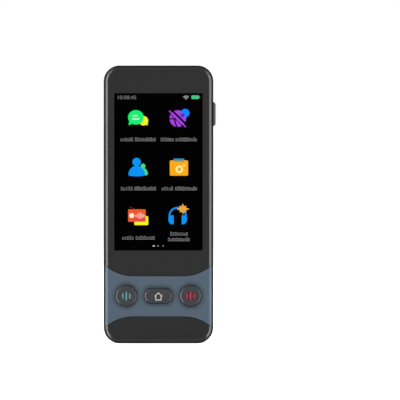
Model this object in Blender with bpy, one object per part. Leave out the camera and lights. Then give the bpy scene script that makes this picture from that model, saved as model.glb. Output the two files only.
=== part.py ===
"""Handheld translator: a slab-shaped pocket device with a screen, three front keys and a side key.

It stands upright on z = 0 with its front towards -Y, its width along X and its height along +Z.
Every length is in metres.
"""

import math

import bmesh
import bpy
from mathutils import Vector

# Body
BODY_WIDTH = 0.0494
BODY_LENGTH = 0.1252
BODY_DEPTH = 0.0124
CORNER_RADIUS = 0.0071
SEAM = 0.0002
SEAT_GAP = 0.0003
OVERRUN = 0.0005
LEAST_RADIUS = 0.0002

# Mid frame
LIP_WALL = 0.0005
LIP_CHAMFER = 0.0002
FRAME_WALL = 0.0024
RIB_REACH = 0.0008
SHOULDER_WIDTH = 0.0014

# Front panels
PANEL_THICKNESS = 0.0013
BEVEL_WIDTH = 0.0014
BEVEL_DEPTH = 0.0009
BAND_LOW_HEIGHT = 0.0121
BAND_HIGH_HEIGHT = 0.0304
BAND_FLAT_HALF = 0.0113
BAND_END_RISE = 0.0054

# Back cover
COVER_WALL = 0.0010
COVER_RIM = 0.0018
COVER_RIM_DEPTH = 0.0026
CURVE_WIDTH = 0.0047
CURVE_DROP = 0.0010
SNAP_LENGTH = 0.0060
SNAP_WALL = 0.0010
SNAP_REACH = 0.0018
SNAP_BARB_REACH = 0.0005
SNAP_BARB_HEIGHT = 0.0005
SIDE_SNAP_SHARES = (0.16, 0.43, 0.70)
FOOT_SNAP_SPACING = 0.0240

# Screen
DISPLAY_SIDE_MARGIN = 0.00478
DISPLAY_TOP_MARGIN = 0.0125
DISPLAY_FOOT_MARGIN = 0.04186
LCD_BORDER = 0.0009
LCD_FOOT_BORDER = 0.0025
LCD_CORNER = 0.0005
LCD_THICKNESS = 0.0009
BACKLIGHT_THICKNESS = 0.0011
PLATE_THICKNESS = 0.0010

# Ribbons
RIBBON_THICKNESS = 0.00015
DISPLAY_FLEX_WIDTH = 0.0140
DISPLAY_FLEX_LAP = 0.0030
DISPLAY_FLEX_DROP = 0.00486
LINK_FLEX_WIDTH = 0.0026
LINK_FLEX_SLOPE = 0.0025
BATTERY_LEAD_WIDTH = 0.0060

# Boards
BOARD_THICKNESS = 0.0008
MAIN_BOARD_LENGTH = 0.0313
BOARD_SPACING = 0.0006
SCREW_SHANK_RADIUS = 0.0007
SCREW_HEAD_RADIUS = 0.0011
SCREW_HEAD_HEIGHT = 0.0005
SCREW_HOLE_GAP = 0.0002
SCREW_EDGE_MARGIN = 0.0051
MAIN_SCREW_TOP_MARGIN = 0.0032
MAIN_SCREW_PLACE_SHARE = 0.573913
KEY_SCREW_TOP_MARGIN = 0.0099
KEY_SCREW_FOOT_MARGIN = 0.0058
BOSS_RADIUS = 0.0017
BOSS_HEIGHT = 0.0022
BOSS_FLOOR = 0.0005

# Board components
SHIELD_CAN_WIDTH = 0.0170
SHIELD_CAN_HEIGHT = 0.0018
SHIELD_CAN_WALL = 0.0002
SHIELD_CAN_LEFT_MARGIN = 0.0035
SHIELD_CAN_FOOT_MARGIN = 0.0030
SHIELD_CAN_CAMERA_GAP = 0.0017
CHIP_WIDTH = 0.0085
CHIP_END_GAP = 0.00155
CHIP_HEIGHT = 0.0009
RADIO_CAMERA_GAP = 0.0034
RADIO_LENGTH = 0.0090
RADIO_HEIGHT = 0.0016
RADIO_LEFT_MARGIN = 0.0035
RADIO_TOP_MARGIN = 0.0040
CONNECTOR_SCREW_GAP = 0.0009
CONNECTOR_HEIGHT = 0.0009
LINK_CONNECTOR_MARGIN = 0.0006
BATTERY_CONNECTOR_OFFSET = 0.0080
BATTERY_CONNECTOR_LENGTH = 0.0026
BATTERY_CONNECTOR_HEIGHT = 0.0011

# Battery
BATTERY_SIDE_CHANNEL = 0.0041
BATTERY_END_GAP = 0.0009
BATTERY_SWELL_GAP = 0.0006
BATTERY_CORNER = 0.0012

# Front keys
KEY_ROW_HEIGHT = 0.0215
TALK_KEY_PLACE_SHARE = 0.585425
TALK_KEY_RADIUS = 0.00462
HOME_KEY_SPACING = 0.00369
HOME_KEY_WIDTH = 0.00666
KEY_HOLE_GAP = 0.0003
KEY_PROUD = 0.0003
KEY_EDGE_CHAMFER = 0.0003
KEY_FLANGE_GRIP = 0.0005
KEY_FLANGE_THICKNESS = 0.0007

# Click switches, whose plungers travel as far as the keys do
KEY_TRAVEL = 0.0003
SWITCH_SIZE = 0.0044
SWITCH_HEIGHT = 0.0010
PLUNGER_RADIUS = 0.0010
PLUNGER_HOLE_GAP = 0.0002
PLUNGER_SEAT_DEPTH = 0.0003

# Side key
SIDE_KEY_LENGTH = 0.0109
SIDE_KEY_WIDTH = 0.0018
SIDE_KEY_PROUD = 0.00115
SIDE_KEY_END_CHAMFER = 0.0008
SIDE_KEY_HOLE_GAP = 0.0002
SIDE_KEY_TOP_MARGIN = 0.02155
SIDE_FLANGE_GRIP = 0.0008
SIDE_FLANGE_THICKNESS = 0.0006
SIDE_SWITCH_DEPTH = 0.0020
SIDE_SWITCH_LENGTH = 0.0035
SIDE_PLUNGER_RADIUS = 0.0005
SIDE_PLUNGER_PROUD = 0.0005

# Camera
CAMERA_TOP_MARGIN = 0.0138
CAMERA_BUMP_WIDTH = 0.0177
CAMERA_BUMP_HEIGHT = 0.0151
CAMERA_BUMP_CORNER = 0.0026
CAMERA_PROUD = 0.0008
BEZEL_RIM = 0.0010
BEZEL_CHAMFER = 0.0003
BEZEL_FLANGE_REACH = 0.0008
BEZEL_FLANGE_THICKNESS = 0.0006
WINDOW_RECESS = 0.00015
WINDOW_THICKNESS = 0.0006
BARREL_RADIUS = 0.0030
BARREL_LENGTH = 0.0039
LENS_RADIUS = 0.0018
LENS_THICKNESS = 0.0010
LENS_CROWN = 0.0004
LENS_RECESS = 0.0002
CAMERA_MODULE_SIZE = 0.0086

# Speaker
GRILLE_SIDE_MARGIN = 0.00040
GRILLE_END_MARGIN = 0.00016
GRILLE_HOLE_RADIUS = 0.0007
GRILLE_ROWS_ASIDE = 3
GRILLE_COLUMNS_ASIDE = 5
SPEAKER_BOSS_GAP = 0.0019
SPEAKER_TOP_MARGIN = 0.0012
SPEAKER_FOOT_MARGIN = 0.0119
SPEAKER_CORNER = 0.0030
SPEAKER_WALL = 0.0015
SPEAKER_FLOOR = 0.0010
GASKET_THICKNESS = 0.0006
CONE_THICKNESS = 0.0004
CONE_RECESS = 0.0006
CONE_CROWN = 0.0005
CONE_INSET_SHARE = 0.2885

# Socket
USB_WIDTH = 0.00894
USB_HEIGHT = 0.00316
USB_LENGTH = 0.00735
USB_CORNER = 0.0014
USB_WALL = 0.0003
USB_FLOOR = 0.0003
USB_RECESS = 0.0003
USB_SINK = 0.0008
USB_HOLE_GAP = 0.00025
TONGUE_WIDTH = 0.00669
TONGUE_THICKNESS = 0.0007
TONGUE_RECESS = 0.0006
TONGUE_BLOCK_LENGTH = 0.0020
TONGUE_GAP = 0.0001

# Microphones and antenna
MICROPHONE_WIDTH = 0.0035
MICROPHONE_LENGTH = 0.0027
MICROPHONE_HEIGHT = 0.0010
MICROPHONE_HOLE_RADIUS = 0.0005
FOOT_MICROPHONE_SIDE_MARGIN = 0.0117
TOP_MICROPHONE_SIDE_MARGIN = 0.0162
ANTENNA_DEPTH = 0.0022
ANTENNA_THICKNESS = 0.0002
ANTENNA_SIDE_MARGIN = 0.0077
ANTENNA_TAB_GAP = 0.0010

# Fineness of round stretches
CORNER_STEPS = 8
ROUND_STEPS = 32
SMALL_ROUND_STEPS = 16
GRILLE_STEPS = 10
CURVE_STEPS = 8
SHOULDER_STEPS = 4
SMOOTH_ANGLE_DEGREES = 30

# Depths of the layers, front to back
FRONT_FACE = -BODY_DEPTH / 2
BACK_FACE = BODY_DEPTH / 2
LIP_FRONT = FRONT_FACE + BEVEL_DEPTH
PANEL_BACK = FRONT_FACE + PANEL_THICKNESS
LCD_FRONT = PANEL_BACK + SEAT_GAP
LCD_BACK = LCD_FRONT + LCD_THICKNESS
BACKLIGHT_FRONT = LCD_BACK + SEAT_GAP
BACKLIGHT_BACK = BACKLIGHT_FRONT + BACKLIGHT_THICKNESS
PLATE_FRONT = BACKLIGHT_BACK + SEAT_GAP
PLATE_BACK = PLATE_FRONT + PLATE_THICKNESS
RIB_FRONT = PLATE_BACK + SEAT_GAP
RIB_BACK = RIB_FRONT + BOARD_THICKNESS
KEY_BOARD_FRONT = PLATE_BACK - BOARD_THICKNESS
MAIN_BOARD_BACK = RIB_BACK
COVER_SEAT = BACK_FACE - COVER_RIM_DEPTH
COVER_LEDGE = COVER_SEAT - SEAT_GAP
COVER_INNER = BACK_FACE - COVER_WALL

# Half widths and heights inside the body
HALF_WIDTH = BODY_WIDTH / 2
PANEL_INSET = LIP_WALL + SEAM
COVER_INSET = SHOULDER_WIDTH + SEAM
PLATE_INSET = FRAME_WALL + SEAT_GAP
RIB_INSET = FRAME_WALL + RIB_REACH
MAIN_BOARD_INSET = RIB_INSET + SEAT_GAP
SCREEN_LOW = DISPLAY_FOOT_MARGIN - LCD_FOOT_BORDER
PLATE_LOW = SCREEN_LOW - DISPLAY_FLEX_DROP
KEY_BOARD_TOP = PLATE_LOW - BOARD_SPACING
MAIN_BOARD_TOP = BODY_LENGTH - MAIN_BOARD_INSET
MAIN_BOARD_LOW = MAIN_BOARD_TOP - MAIN_BOARD_LENGTH
MAIN_BOARD_SIDE = HALF_WIDTH - MAIN_BOARD_INSET
SCREW_SIDE = HALF_WIDTH - SCREW_EDGE_MARGIN
CURVE_RADIUS = (CURVE_WIDTH ** 2 + CURVE_DROP ** 2) / (2 * CURVE_DROP)
CURVE_START = HALF_WIDTH - COVER_INSET - CURVE_WIDTH

# Places of the keys, camera, speaker and socket
TALK_KEY_OFFSET = TALK_KEY_PLACE_SHARE * HALF_WIDTH
HOME_KEY_LENGTH = 2 * (TALK_KEY_OFFSET - TALK_KEY_RADIUS - HOME_KEY_SPACING)
KEY_CAP_FRONT = FRONT_FACE - KEY_PROUD
KEY_FLANGE_FRONT = PANEL_BACK + SEAT_GAP
KEY_CAP_BACK = KEY_FLANGE_FRONT + KEY_FLANGE_THICKNESS
SWITCH_BACK = KEY_BOARD_FRONT - SEAT_GAP
SWITCH_FRONT = SWITCH_BACK - SWITCH_HEIGHT
SWITCH_WELL_DEPTH = PLUNGER_SEAT_DEPTH + KEY_TRAVEL + PLUNGER_HOLE_GAP
SIDE_KEY_HEIGHT = BODY_LENGTH - SIDE_KEY_TOP_MARGIN
SIDE_KEY_DEPTH = MAIN_BOARD_BACK + SEAT_GAP + SIDE_KEY_WIDTH / 2
SIDE_SWITCH_LOW = SIDE_KEY_HEIGHT - SIDE_SWITCH_LENGTH / 2
MAIN_SCREW_LOW = MAIN_BOARD_LOW + MAIN_SCREW_PLACE_SHARE * (SIDE_SWITCH_LOW - MAIN_BOARD_LOW)
LINK_LOW = MAIN_BOARD_LOW + LINK_CONNECTOR_MARGIN
LINK_LENGTH = MAIN_SCREW_LOW - SCREW_HEAD_RADIUS - CONNECTOR_SCREW_GAP - LINK_LOW
SIDE_FLANGE_OUTER = HALF_WIDTH - FRAME_WALL - SEAT_GAP
SIDE_FLANGE_INNER = SIDE_FLANGE_OUTER - SIDE_FLANGE_THICKNESS
SIDE_PLUNGER_OUTER = SIDE_FLANGE_INNER - SEAT_GAP
SIDE_SWITCH_OUTER = SIDE_PLUNGER_OUTER - SIDE_PLUNGER_PROUD
CAMERA_HEIGHT = BODY_LENGTH - CAMERA_TOP_MARGIN
BEZEL_FRONT = BACK_FACE + CAMERA_PROUD
WINDOW_FRONT = BEZEL_FRONT - WINDOW_RECESS
WINDOW_BACK = WINDOW_FRONT - WINDOW_THICKNESS
BEZEL_FLOOR = WINDOW_BACK - SEAT_GAP
BEZEL_FLANGE_FRONT = COVER_INNER - SEAT_GAP
BEZEL_BACK = BEZEL_FLANGE_FRONT - BEZEL_FLANGE_THICKNESS
CAMERA_MODULE_TOP = BEZEL_BACK - SEAT_GAP
BARREL_TOP = BEZEL_FLOOR - SEAT_GAP
GASKET_BACK = COVER_INNER - SEAT_GAP
SPEAKER_BACK = GASKET_BACK - GASKET_THICKNESS - SEAT_GAP
SPEAKER_X_HALF = SCREW_SIDE - BOSS_RADIUS - SPEAKER_BOSS_GAP
SPEAKER_Z_HALF = (KEY_BOARD_TOP - SPEAKER_TOP_MARGIN - SPEAKER_FOOT_MARGIN) / 2
SPEAKER_HEIGHT = SPEAKER_FOOT_MARGIN + SPEAKER_Z_HALF
FOOT_MICROPHONE_X = FOOT_MICROPHONE_SIDE_MARGIN - HALF_WIDTH
TOP_MICROPHONE_X = HALF_WIDTH - TOP_MICROPHONE_SIDE_MARGIN
USB_LOW = RIB_FRONT - USB_SINK
USB_DEPTH = USB_LOW + USB_HEIGHT / 2

# Colours as linear red, green and blue, then roughness and metallic value
FINISHES = {
    "frame_metal": ((0.30, 0.31, 0.33), 0.35, 0.9),
    "dark_panel": ((0.029, 0.029, 0.030), 0.30, 0.0),
    "blue_panel": ((0.095, 0.130, 0.165), 0.45, 0.0),
    "cover_plastic": ((0.028, 0.027, 0.030), 0.45, 0.0),
    "key_plastic": ((0.060, 0.058, 0.060), 0.35, 0.0),
    "screen": ((0.002, 0.002, 0.002), 0.12, 0.0),
    "steel": ((0.45, 0.45, 0.46), 0.35, 1.0),
    "board": ((0.015, 0.090, 0.040), 0.50, 0.0),
    "black_plastic": ((0.012, 0.012, 0.013), 0.50, 0.0),
    "white_plastic": ((0.60, 0.60, 0.58), 0.50, 0.0),
    "flex": ((0.230, 0.095, 0.020), 0.45, 0.0),
    "battery_wrap": ((0.060, 0.070, 0.085), 0.45, 0.0),
    "foam": ((0.020, 0.020, 0.020), 0.95, 0.0),
    "lens_glass": ((0.010, 0.010, 0.020), 0.05, 0.0),
}


def clear_scene():
    """Remove every object that the scene starts with."""
    for old in list(bpy.data.objects):
        bpy.data.objects.remove(old, do_unlink=True)


def arc(centre_u, centre_v, radius, start, sweep, steps):
    """Points along an arc, both ends included, with angles in degrees."""
    points = []
    for step in range(steps + 1):
        angle = math.radians(start + sweep * step / steps)
        points.append((centre_u + radius * math.cos(angle), centre_v + radius * math.sin(angle)))
    return points


def circle(centre_u, centre_v, radius, steps=ROUND_STEPS):
    """Points round a circle."""
    return arc(centre_u, centre_v, radius, 0, 360, steps)[:-1]


def rounded_corner(corner_u, corner_v, towards_u, towards_v, radius):
    """Points of one corner of an outline, whose middle lies towards the given signs."""
    if radius <= 0:
        return [(corner_u, corner_v)]
    start = {(-1, 1): -90, (-1, -1): 0, (1, -1): 90, (1, 1): 180}[(towards_u, towards_v)]
    middle = (corner_u + towards_u * radius, corner_v + towards_v * radius)
    return arc(*middle, radius, start, 90, CORNER_STEPS)


def rectangle(left, right, low, high, low_radius=0, high_radius=None):
    """Outline of a rectangle, anticlockwise from its lower right corner."""
    if high_radius is None:
        high_radius = low_radius
    points = rounded_corner(right, low, -1, 1, low_radius)
    points += rounded_corner(right, high, -1, -1, high_radius)
    points += rounded_corner(left, high, 1, -1, high_radius)
    points += rounded_corner(left, low, 1, 1, low_radius)
    return points


def body_outline(inset):
    """The body's outline in x and z, drawn in by the inset."""
    radius = max(CORNER_RADIUS - inset, LEAST_RADIUS)
    return rectangle(inset - HALF_WIDTH, HALF_WIDTH - inset, inset, BODY_LENGTH - inset, radius)


def stadium(centre_x, centre_z, length, width, grow=0):
    """Outline of a stadium that lies along x, or a circle where length and width are equal."""
    radius = width / 2 + grow
    straight = (length - width) / 2
    right = arc(centre_x + straight, centre_z, radius, -90, 180, ROUND_STEPS // 2)
    left = arc(centre_x - straight, centre_z, radius, 90, 180, ROUND_STEPS // 2)
    if straight <= 0:
        return right[:-1] + left[:-1]
    return right + left


def at_depth(outline, depth):
    """Lift an x and z outline to points at one depth."""
    return [(x, depth, z) for x, z in outline]


def at_side(outline, side):
    """Lift a y and z outline to points at one place along x."""
    return [(side, y, z) for y, z in outline]


def at_height(outline, height):
    """Lift an x and y outline to points at one height."""
    return [(x, y, height) for x, y in outline]


def back_surface(x):
    """Depth of the back at x: flat in the middle and curved away at the long sides."""
    beyond = max(abs(x) - CURVE_START, 0)
    return BACK_FACE - CURVE_RADIUS + math.sqrt(CURVE_RADIUS ** 2 - beyond ** 2)


def add_mesh(name, vertices, faces, finish):
    """Make an object from vertices and faces, with its faces pointing out and its own material."""
    mesh = bpy.data.meshes.new(name)
    mesh.from_pydata(vertices, [], faces)
    shell = bmesh.new()
    shell.from_mesh(mesh)
    bmesh.ops.recalc_face_normals(shell, faces=shell.faces)
    shell.to_mesh(mesh)
    shell.free()
    mesh.shade_smooth()
    mesh.set_sharp_from_angle(angle=math.radians(SMOOTH_ANGLE_DEGREES))
    if finish:
        mesh.materials.append(make_material(name, finish))
    item = bpy.data.objects.new(name, mesh)
    bpy.context.scene.collection.objects.link(item)
    return item


def make_material(name, finish):
    """A plain material in one of the finishes, for one object."""
    colour, roughness, metallic = FINISHES[finish]
    material = bpy.data.materials.new(name + "_" + finish)
    material.use_nodes = True
    shader = material.node_tree.nodes["Principled BSDF"]
    shader.inputs["Base Color"].default_value = (*colour, 1)
    shader.inputs["Roughness"].default_value = roughness
    shader.inputs["Metallic"].default_value = metallic
    return material


def loft(name, rings, finish=None, closed=False):
    """Join rings of equally many points into a solid, capped at its ends or closed on itself."""
    count = len(rings[0])
    vertices = [point for ring in rings for point in ring]
    pairs = [(index, index + 1) for index in range(len(rings) - 1)]
    faces = []
    if closed:
        pairs.append((len(rings) - 1, 0))
    else:
        faces.append(list(range(count)))
        faces.append([(len(rings) - 1) * count + index for index in range(count)])
    for first, second in pairs:
        for index in range(count):
            following = (index + 1) % count
            faces.append([
                first * count + index, first * count + following,
                second * count + following, second * count + index,
            ])
    return add_mesh(name, vertices, faces, finish)


def prism(name, outline, front, back, finish=None):
    """Extrude an x and z outline between two depths."""
    return loft(name, [at_depth(outline, front), at_depth(outline, back)], finish)


def box(name, x_span, y_span, z_span, finish=None):
    """A rectangular block."""
    return prism(name, rectangle(*x_span, *z_span), *y_span, finish)


def rod(name, x, z, radius, front, back, finish=None, steps=SMALL_ROUND_STEPS):
    """A cylinder along y."""
    return prism(name, circle(x, z, radius, steps), front, back, finish)


def join_meshes(name, pieces):
    """One cutter that holds several separate pieces."""
    joined = bmesh.new()
    for piece in pieces:
        joined.from_mesh(piece.data)
        bpy.data.objects.remove(piece, do_unlink=True)
    mesh = bpy.data.meshes.new(name)
    joined.to_mesh(mesh)
    joined.free()
    item = bpy.data.objects.new(name, mesh)
    bpy.context.scene.collection.objects.link(item)
    return item


def combine(target, tool, operation):
    """Add, cut or intersect a guide solid with the target, and hide the guide."""
    tool.hide_render = True
    tool.display_type = "WIRE"
    modifier = target.modifiers.new(operation.lower() + "_" + tool.name, "BOOLEAN")
    modifier.operation = operation
    modifier.solver = "EXACT"
    modifier.object = tool


def cut(target, tool):
    """Cut the tool's shape out of the target."""
    combine(target, tool, "DIFFERENCE")


def unite(target, tool):
    """Add the tool's shape to the target."""
    combine(target, tool, "UNION")


def keep_inside(target, tool):
    """Keep only what the target shares with the tool's shape."""
    combine(target, tool, "INTERSECT")


def carry_on_axis(name, place, pieces):
    """Parent moving pieces to an empty on their joint's axis, with their origins there too."""
    axis = bpy.data.objects.new(name, None)
    bpy.context.scene.collection.objects.link(axis)
    axis.location = place
    for piece in pieces:
        piece.data.transform(axis.matrix_basis.inverted())
        piece.parent = axis


def screw_hole(name, x, z, front, back):
    """A cutter for one screw's shank with its clearance."""
    return rod(name, x, z, SCREW_SHANK_RADIUS + SCREW_HOLE_GAP, front, back)


def main_screw_places():
    """Middles of the main board's four screws."""
    heights = (MAIN_SCREW_LOW, MAIN_BOARD_TOP - MAIN_SCREW_TOP_MARGIN)
    return [(side * SCREW_SIDE, height) for height in heights for side in (-1, 1)]


def key_screw_places():
    """Middles of the key board's four screws."""
    heights = (KEY_SCREW_FOOT_MARGIN, KEY_BOARD_TOP - KEY_SCREW_TOP_MARGIN)
    return [(side * SCREW_SIDE, height) for height in heights for side in (-1, 1)]


def snap_places():
    """Wall side and middle of each snap tab: along a long side, at the top or at the foot."""
    places = [(side, 0, share * BODY_LENGTH) for share in SIDE_SNAP_SHARES for side in (-1, 1)]
    places.append((0, 1, 0))
    places += [(0, -1, side * FOOT_SNAP_SPACING / 2) for side in (-1, 1)]
    return places


def snap_block(name, place, inner, outer, front, back, grow=0):
    """A block along the wall that a snap tab stands at, between two distances from the outside."""
    side, end, middle = place
    along = (middle - SNAP_LENGTH / 2 - grow, middle + SNAP_LENGTH / 2 + grow)
    if side:
        across = sorted((side * (HALF_WIDTH - inner), side * (HALF_WIDTH - outer)))
        return box(name, across, (front, back), along)
    wall = BODY_LENGTH if end > 0 else 0
    across = sorted((wall - end * inner, wall - end * outer))
    return box(name, along, (front, back), across)


def build_mid_frame():
    """The metal-coloured band, with its ledges, rib, bosses and openings."""
    profile = [
        (0, LIP_FRONT + LIP_CHAMFER),
        (LIP_CHAMFER, LIP_FRONT),
        (LIP_WALL, LIP_FRONT),
        (LIP_WALL, PANEL_BACK + SEAT_GAP),
        (FRAME_WALL, PANEL_BACK + SEAT_GAP),
        (FRAME_WALL, RIB_FRONT),
        (RIB_INSET, RIB_FRONT),
        (RIB_INSET, RIB_BACK),
        (FRAME_WALL, RIB_BACK),
        (FRAME_WALL, COVER_LEDGE),
        (SHOULDER_WIDTH, COVER_LEDGE),
    ]
    shoulder = arc(SHOULDER_WIDTH, BACK_FACE - SHOULDER_WIDTH, SHOULDER_WIDTH, 90, 90, SHOULDER_STEPS)
    rings = []
    for inset, depth in profile + shoulder:
        rings.append([(x, min(depth, back_surface(x)), z) for x, z in body_outline(inset)])
    frame = loft("mid_frame", rings, "frame_metal", closed=True)

    for number, (x, z) in enumerate(key_screw_places()):
        wall = math.copysign(HALF_WIDTH - FRAME_WALL + SEAT_GAP, x)
        middle = (x + wall) / 2
        outline = stadium(middle, z, abs(wall - x) + 2 * BOSS_RADIUS, 2 * BOSS_RADIUS)
        unite(frame, prism(f"boss_{number}", outline, RIB_FRONT, RIB_FRONT + BOSS_HEIGHT))
    holes = [
        screw_hole("boss_hole", x, z, RIB_FRONT - OVERRUN, RIB_FRONT + BOSS_HEIGHT - BOSS_FLOOR)
        for x, z in key_screw_places()
    ]
    cut(frame, join_meshes("boss_holes", holes))
    cut(frame, join_meshes("snap_recesses", [snap_recess(place) for place in snap_places()]))
    cut(frame, side_key_slot())
    cut(frame, usb_opening())
    cut(frame, join_meshes("sound_holes", [foot_sound_hole(), top_sound_hole()]))
    return frame


def snap_recess(place):
    """The hollow in the frame's wall that takes a snap tab's barb."""
    return snap_block(
        "snap_recess", place,
        FRAME_WALL + OVERRUN, FRAME_WALL - SNAP_BARB_REACH,
        COVER_SEAT - SNAP_REACH - SEAT_GAP, COVER_SEAT - SNAP_REACH + SNAP_BARB_HEIGHT + SEAT_GAP,
        grow=SEAT_GAP,
    )


def side_key_slot():
    """The slot in the frame's right wall that the side key slides through."""
    y_half = SIDE_KEY_WIDTH / 2 + SIDE_KEY_HOLE_GAP
    z_half = SIDE_KEY_LENGTH / 2 + SIDE_KEY_HOLE_GAP
    return box(
        "side_key_slot",
        (HALF_WIDTH - FRAME_WALL - OVERRUN, HALF_WIDTH + OVERRUN),
        (SIDE_KEY_DEPTH - y_half, SIDE_KEY_DEPTH + y_half),
        (SIDE_KEY_HEIGHT - z_half, SIDE_KEY_HEIGHT + z_half),
    )


def usb_outline(grow):
    """The socket's outline in x and y, made larger all round."""
    x_half = USB_WIDTH / 2 + grow
    y_half = USB_HEIGHT / 2 + grow
    return rectangle(-x_half, x_half, USB_DEPTH - y_half, USB_DEPTH + y_half, USB_CORNER + grow)


def usb_opening():
    """The opening for the socket in the frame's foot and its rib."""
    outline = usb_outline(USB_HOLE_GAP)
    return loft("usb_opening", [at_height(outline, -OVERRUN), at_height(outline, RIB_INSET + OVERRUN)])


def foot_sound_hole():
    """The lower microphone's hole through the frame's foot and rib."""
    depth = RIB_FRONT + MICROPHONE_HEIGHT / 2
    outline = circle(FOOT_MICROPHONE_X, depth, MICROPHONE_HOLE_RADIUS, SMALL_ROUND_STEPS)
    return loft("foot_hole", [at_height(outline, -OVERRUN), at_height(outline, RIB_INSET + OVERRUN)])


def top_sound_hole():
    """The upper microphone's hole through the frame's top wall."""
    depth = MAIN_BOARD_BACK + SEAT_GAP + MICROPHONE_HEIGHT / 2
    outline = circle(TOP_MICROPHONE_X, depth, MICROPHONE_HOLE_RADIUS, SMALL_ROUND_STEPS)
    low = BODY_LENGTH - FRAME_WALL - OVERRUN
    return loft("top_hole", [at_height(outline, low), at_height(outline, BODY_LENGTH + OVERRUN)])


def back_block(name, drop):
    """A block along the body's whole height whose back follows the curved back, lowered by the drop."""
    reach = HALF_WIDTH
    right = []
    for step in range(CURVE_STEPS + 1):
        x = CURVE_START + (reach - CURVE_START) * step / CURVE_STEPS
        right.append((x, back_surface(x) - drop))
    left = [(-x, y) for x, y in reversed(right)]
    front = COVER_SEAT - SNAP_REACH - drop
    outline = left + right + [(reach, front), (-reach, front)]
    return loft(name, [at_height(outline, -OVERRUN), at_height(outline, BODY_LENGTH + OVERRUN)])


def grille_holes():
    """The speaker grille's holes, spread over the speaker's mouth, each row two fewer outwards."""
    holes = []
    edge = SPEAKER_WALL + GRILLE_HOLE_RADIUS
    x_pitch = (SPEAKER_X_HALF - edge - GRILLE_SIDE_MARGIN) / GRILLE_COLUMNS_ASIDE
    z_pitch = (SPEAKER_Z_HALF - edge - GRILLE_END_MARGIN) / GRILLE_ROWS_ASIDE
    for row in range(-GRILLE_ROWS_ASIDE, GRILLE_ROWS_ASIDE + 1):
        reach = GRILLE_COLUMNS_ASIDE - abs(row)
        for column in range(-reach, reach + 1):
            holes.append(rod(
                "grille_hole", column * x_pitch, SPEAKER_HEIGHT + row * z_pitch,
                GRILLE_HOLE_RADIUS, COVER_INNER - OVERRUN, BACK_FACE + OVERRUN, steps=GRILLE_STEPS,
            ))
    return join_meshes("grille_holes", holes)


def bump_outline(grow):
    """The camera bump's outline, made larger or smaller all round."""
    x_half = CAMERA_BUMP_WIDTH / 2 + grow
    z_half = CAMERA_BUMP_HEIGHT / 2 + grow
    radius = CAMERA_BUMP_CORNER + grow
    return rectangle(-x_half, x_half, CAMERA_HEIGHT - z_half, CAMERA_HEIGHT + z_half, radius)


def build_back_cover():
    """The back cover: a curved panel with a seating rim, snap tabs, grille and camera opening."""
    cover = prism("back_cover", body_outline(COVER_INSET), COVER_SEAT, BACK_FACE + OVERRUN, "cover_plastic")
    keep_inside(cover, back_block("cover_back_guide", 0))
    hollow = prism("cover_hollow", body_outline(COVER_INSET + COVER_RIM), COVER_SEAT - OVERRUN, BACK_FACE)
    keep_inside(hollow, back_block("hollow_back_guide", COVER_WALL))
    cut(cover, hollow)
    tab_inner = PLATE_INSET + SNAP_WALL
    barb_outer = PLATE_INSET - SNAP_BARB_REACH
    barb_front = COVER_SEAT - SNAP_REACH
    for number, place in enumerate(snap_places()):
        tab = snap_block(
            f"snap_tab_{number}", place, tab_inner, PLATE_INSET, barb_front, COVER_SEAT + OVERRUN,
        )
        unite(cover, tab)
        barb = snap_block(
            f"snap_barb_{number}", place,
            tab_inner - SNAP_WALL / 2, barb_outer, barb_front, barb_front + SNAP_BARB_HEIGHT,
        )
        unite(cover, barb)
    cut(cover, grille_holes())
    cut(cover, prism("camera_opening", bump_outline(SEAM), COVER_INNER - OVERRUN, BACK_FACE + OVERRUN))
    return cover


def front_plate(name, finish):
    """The whole front with its bevelled edge, before it is divided into three panels."""
    rings = [
        at_depth(body_outline(PANEL_INSET), PANEL_BACK),
        at_depth(body_outline(PANEL_INSET), LIP_FRONT),
        at_depth(body_outline(PANEL_INSET + BEVEL_WIDTH), FRONT_FACE),
    ]
    return loft(name, rings, finish)


def band_edge(height, rise_sign, shift):
    """One long edge of the blue-grey band, left to right: flat in the middle, bowed away at the ends."""
    run = HALF_WIDTH - BAND_FLAT_HALF
    radius = (run ** 2 + BAND_END_RISE ** 2) / (2 * BAND_END_RISE)
    sweep = math.degrees(math.asin(run / radius))
    right = arc(BAND_FLAT_HALF, radius, radius, -90, sweep, CURVE_STEPS)
    right = [(x, height + shift + rise_sign * z) for x, z in right]
    left = [(-x, z) for x, z in reversed(right)]
    return left + right


def build_front_panels():
    """The dark glass, the blue-grey key band and the dark chin, divided by narrow seams."""
    low_edge = band_edge(BAND_LOW_HEIGHT, -1, SEAM / 2)
    high_edge = band_edge(BAND_HIGH_HEIGHT, 1, -SEAM / 2)
    glass_edge = band_edge(BAND_HIGH_HEIGHT, 1, SEAM / 2)
    chin_edge = band_edge(BAND_LOW_HEIGHT, -1, -SEAM / 2)
    regions = {
        "cover_glass": glass_edge + [(HALF_WIDTH, BODY_LENGTH), (-HALF_WIDTH, BODY_LENGTH)],
        "button_fascia": low_edge + list(reversed(high_edge)),
        "chin_cover": [(-HALF_WIDTH, 0), (HALF_WIDTH, 0)] + list(reversed(chin_edge)),
    }
    finishes = {"cover_glass": "dark_panel", "button_fascia": "blue_panel", "chin_cover": "dark_panel"}
    panels = {}
    for name, outline in regions.items():
        panel = front_plate(name, finishes[name])
        guide = prism(name + "_region", outline, FRONT_FACE - OVERRUN, PANEL_BACK + OVERRUN)
        keep_inside(panel, guide)
        panels[name] = panel
    holes = [
        prism("key_hole", stadium(x, KEY_ROW_HEIGHT, length, width, KEY_HOLE_GAP),
              FRONT_FACE - OVERRUN, PANEL_BACK + OVERRUN)
        for x, length, width in key_shapes().values()
    ]
    cut(panels["button_fascia"], join_meshes("key_holes", holes))


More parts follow.
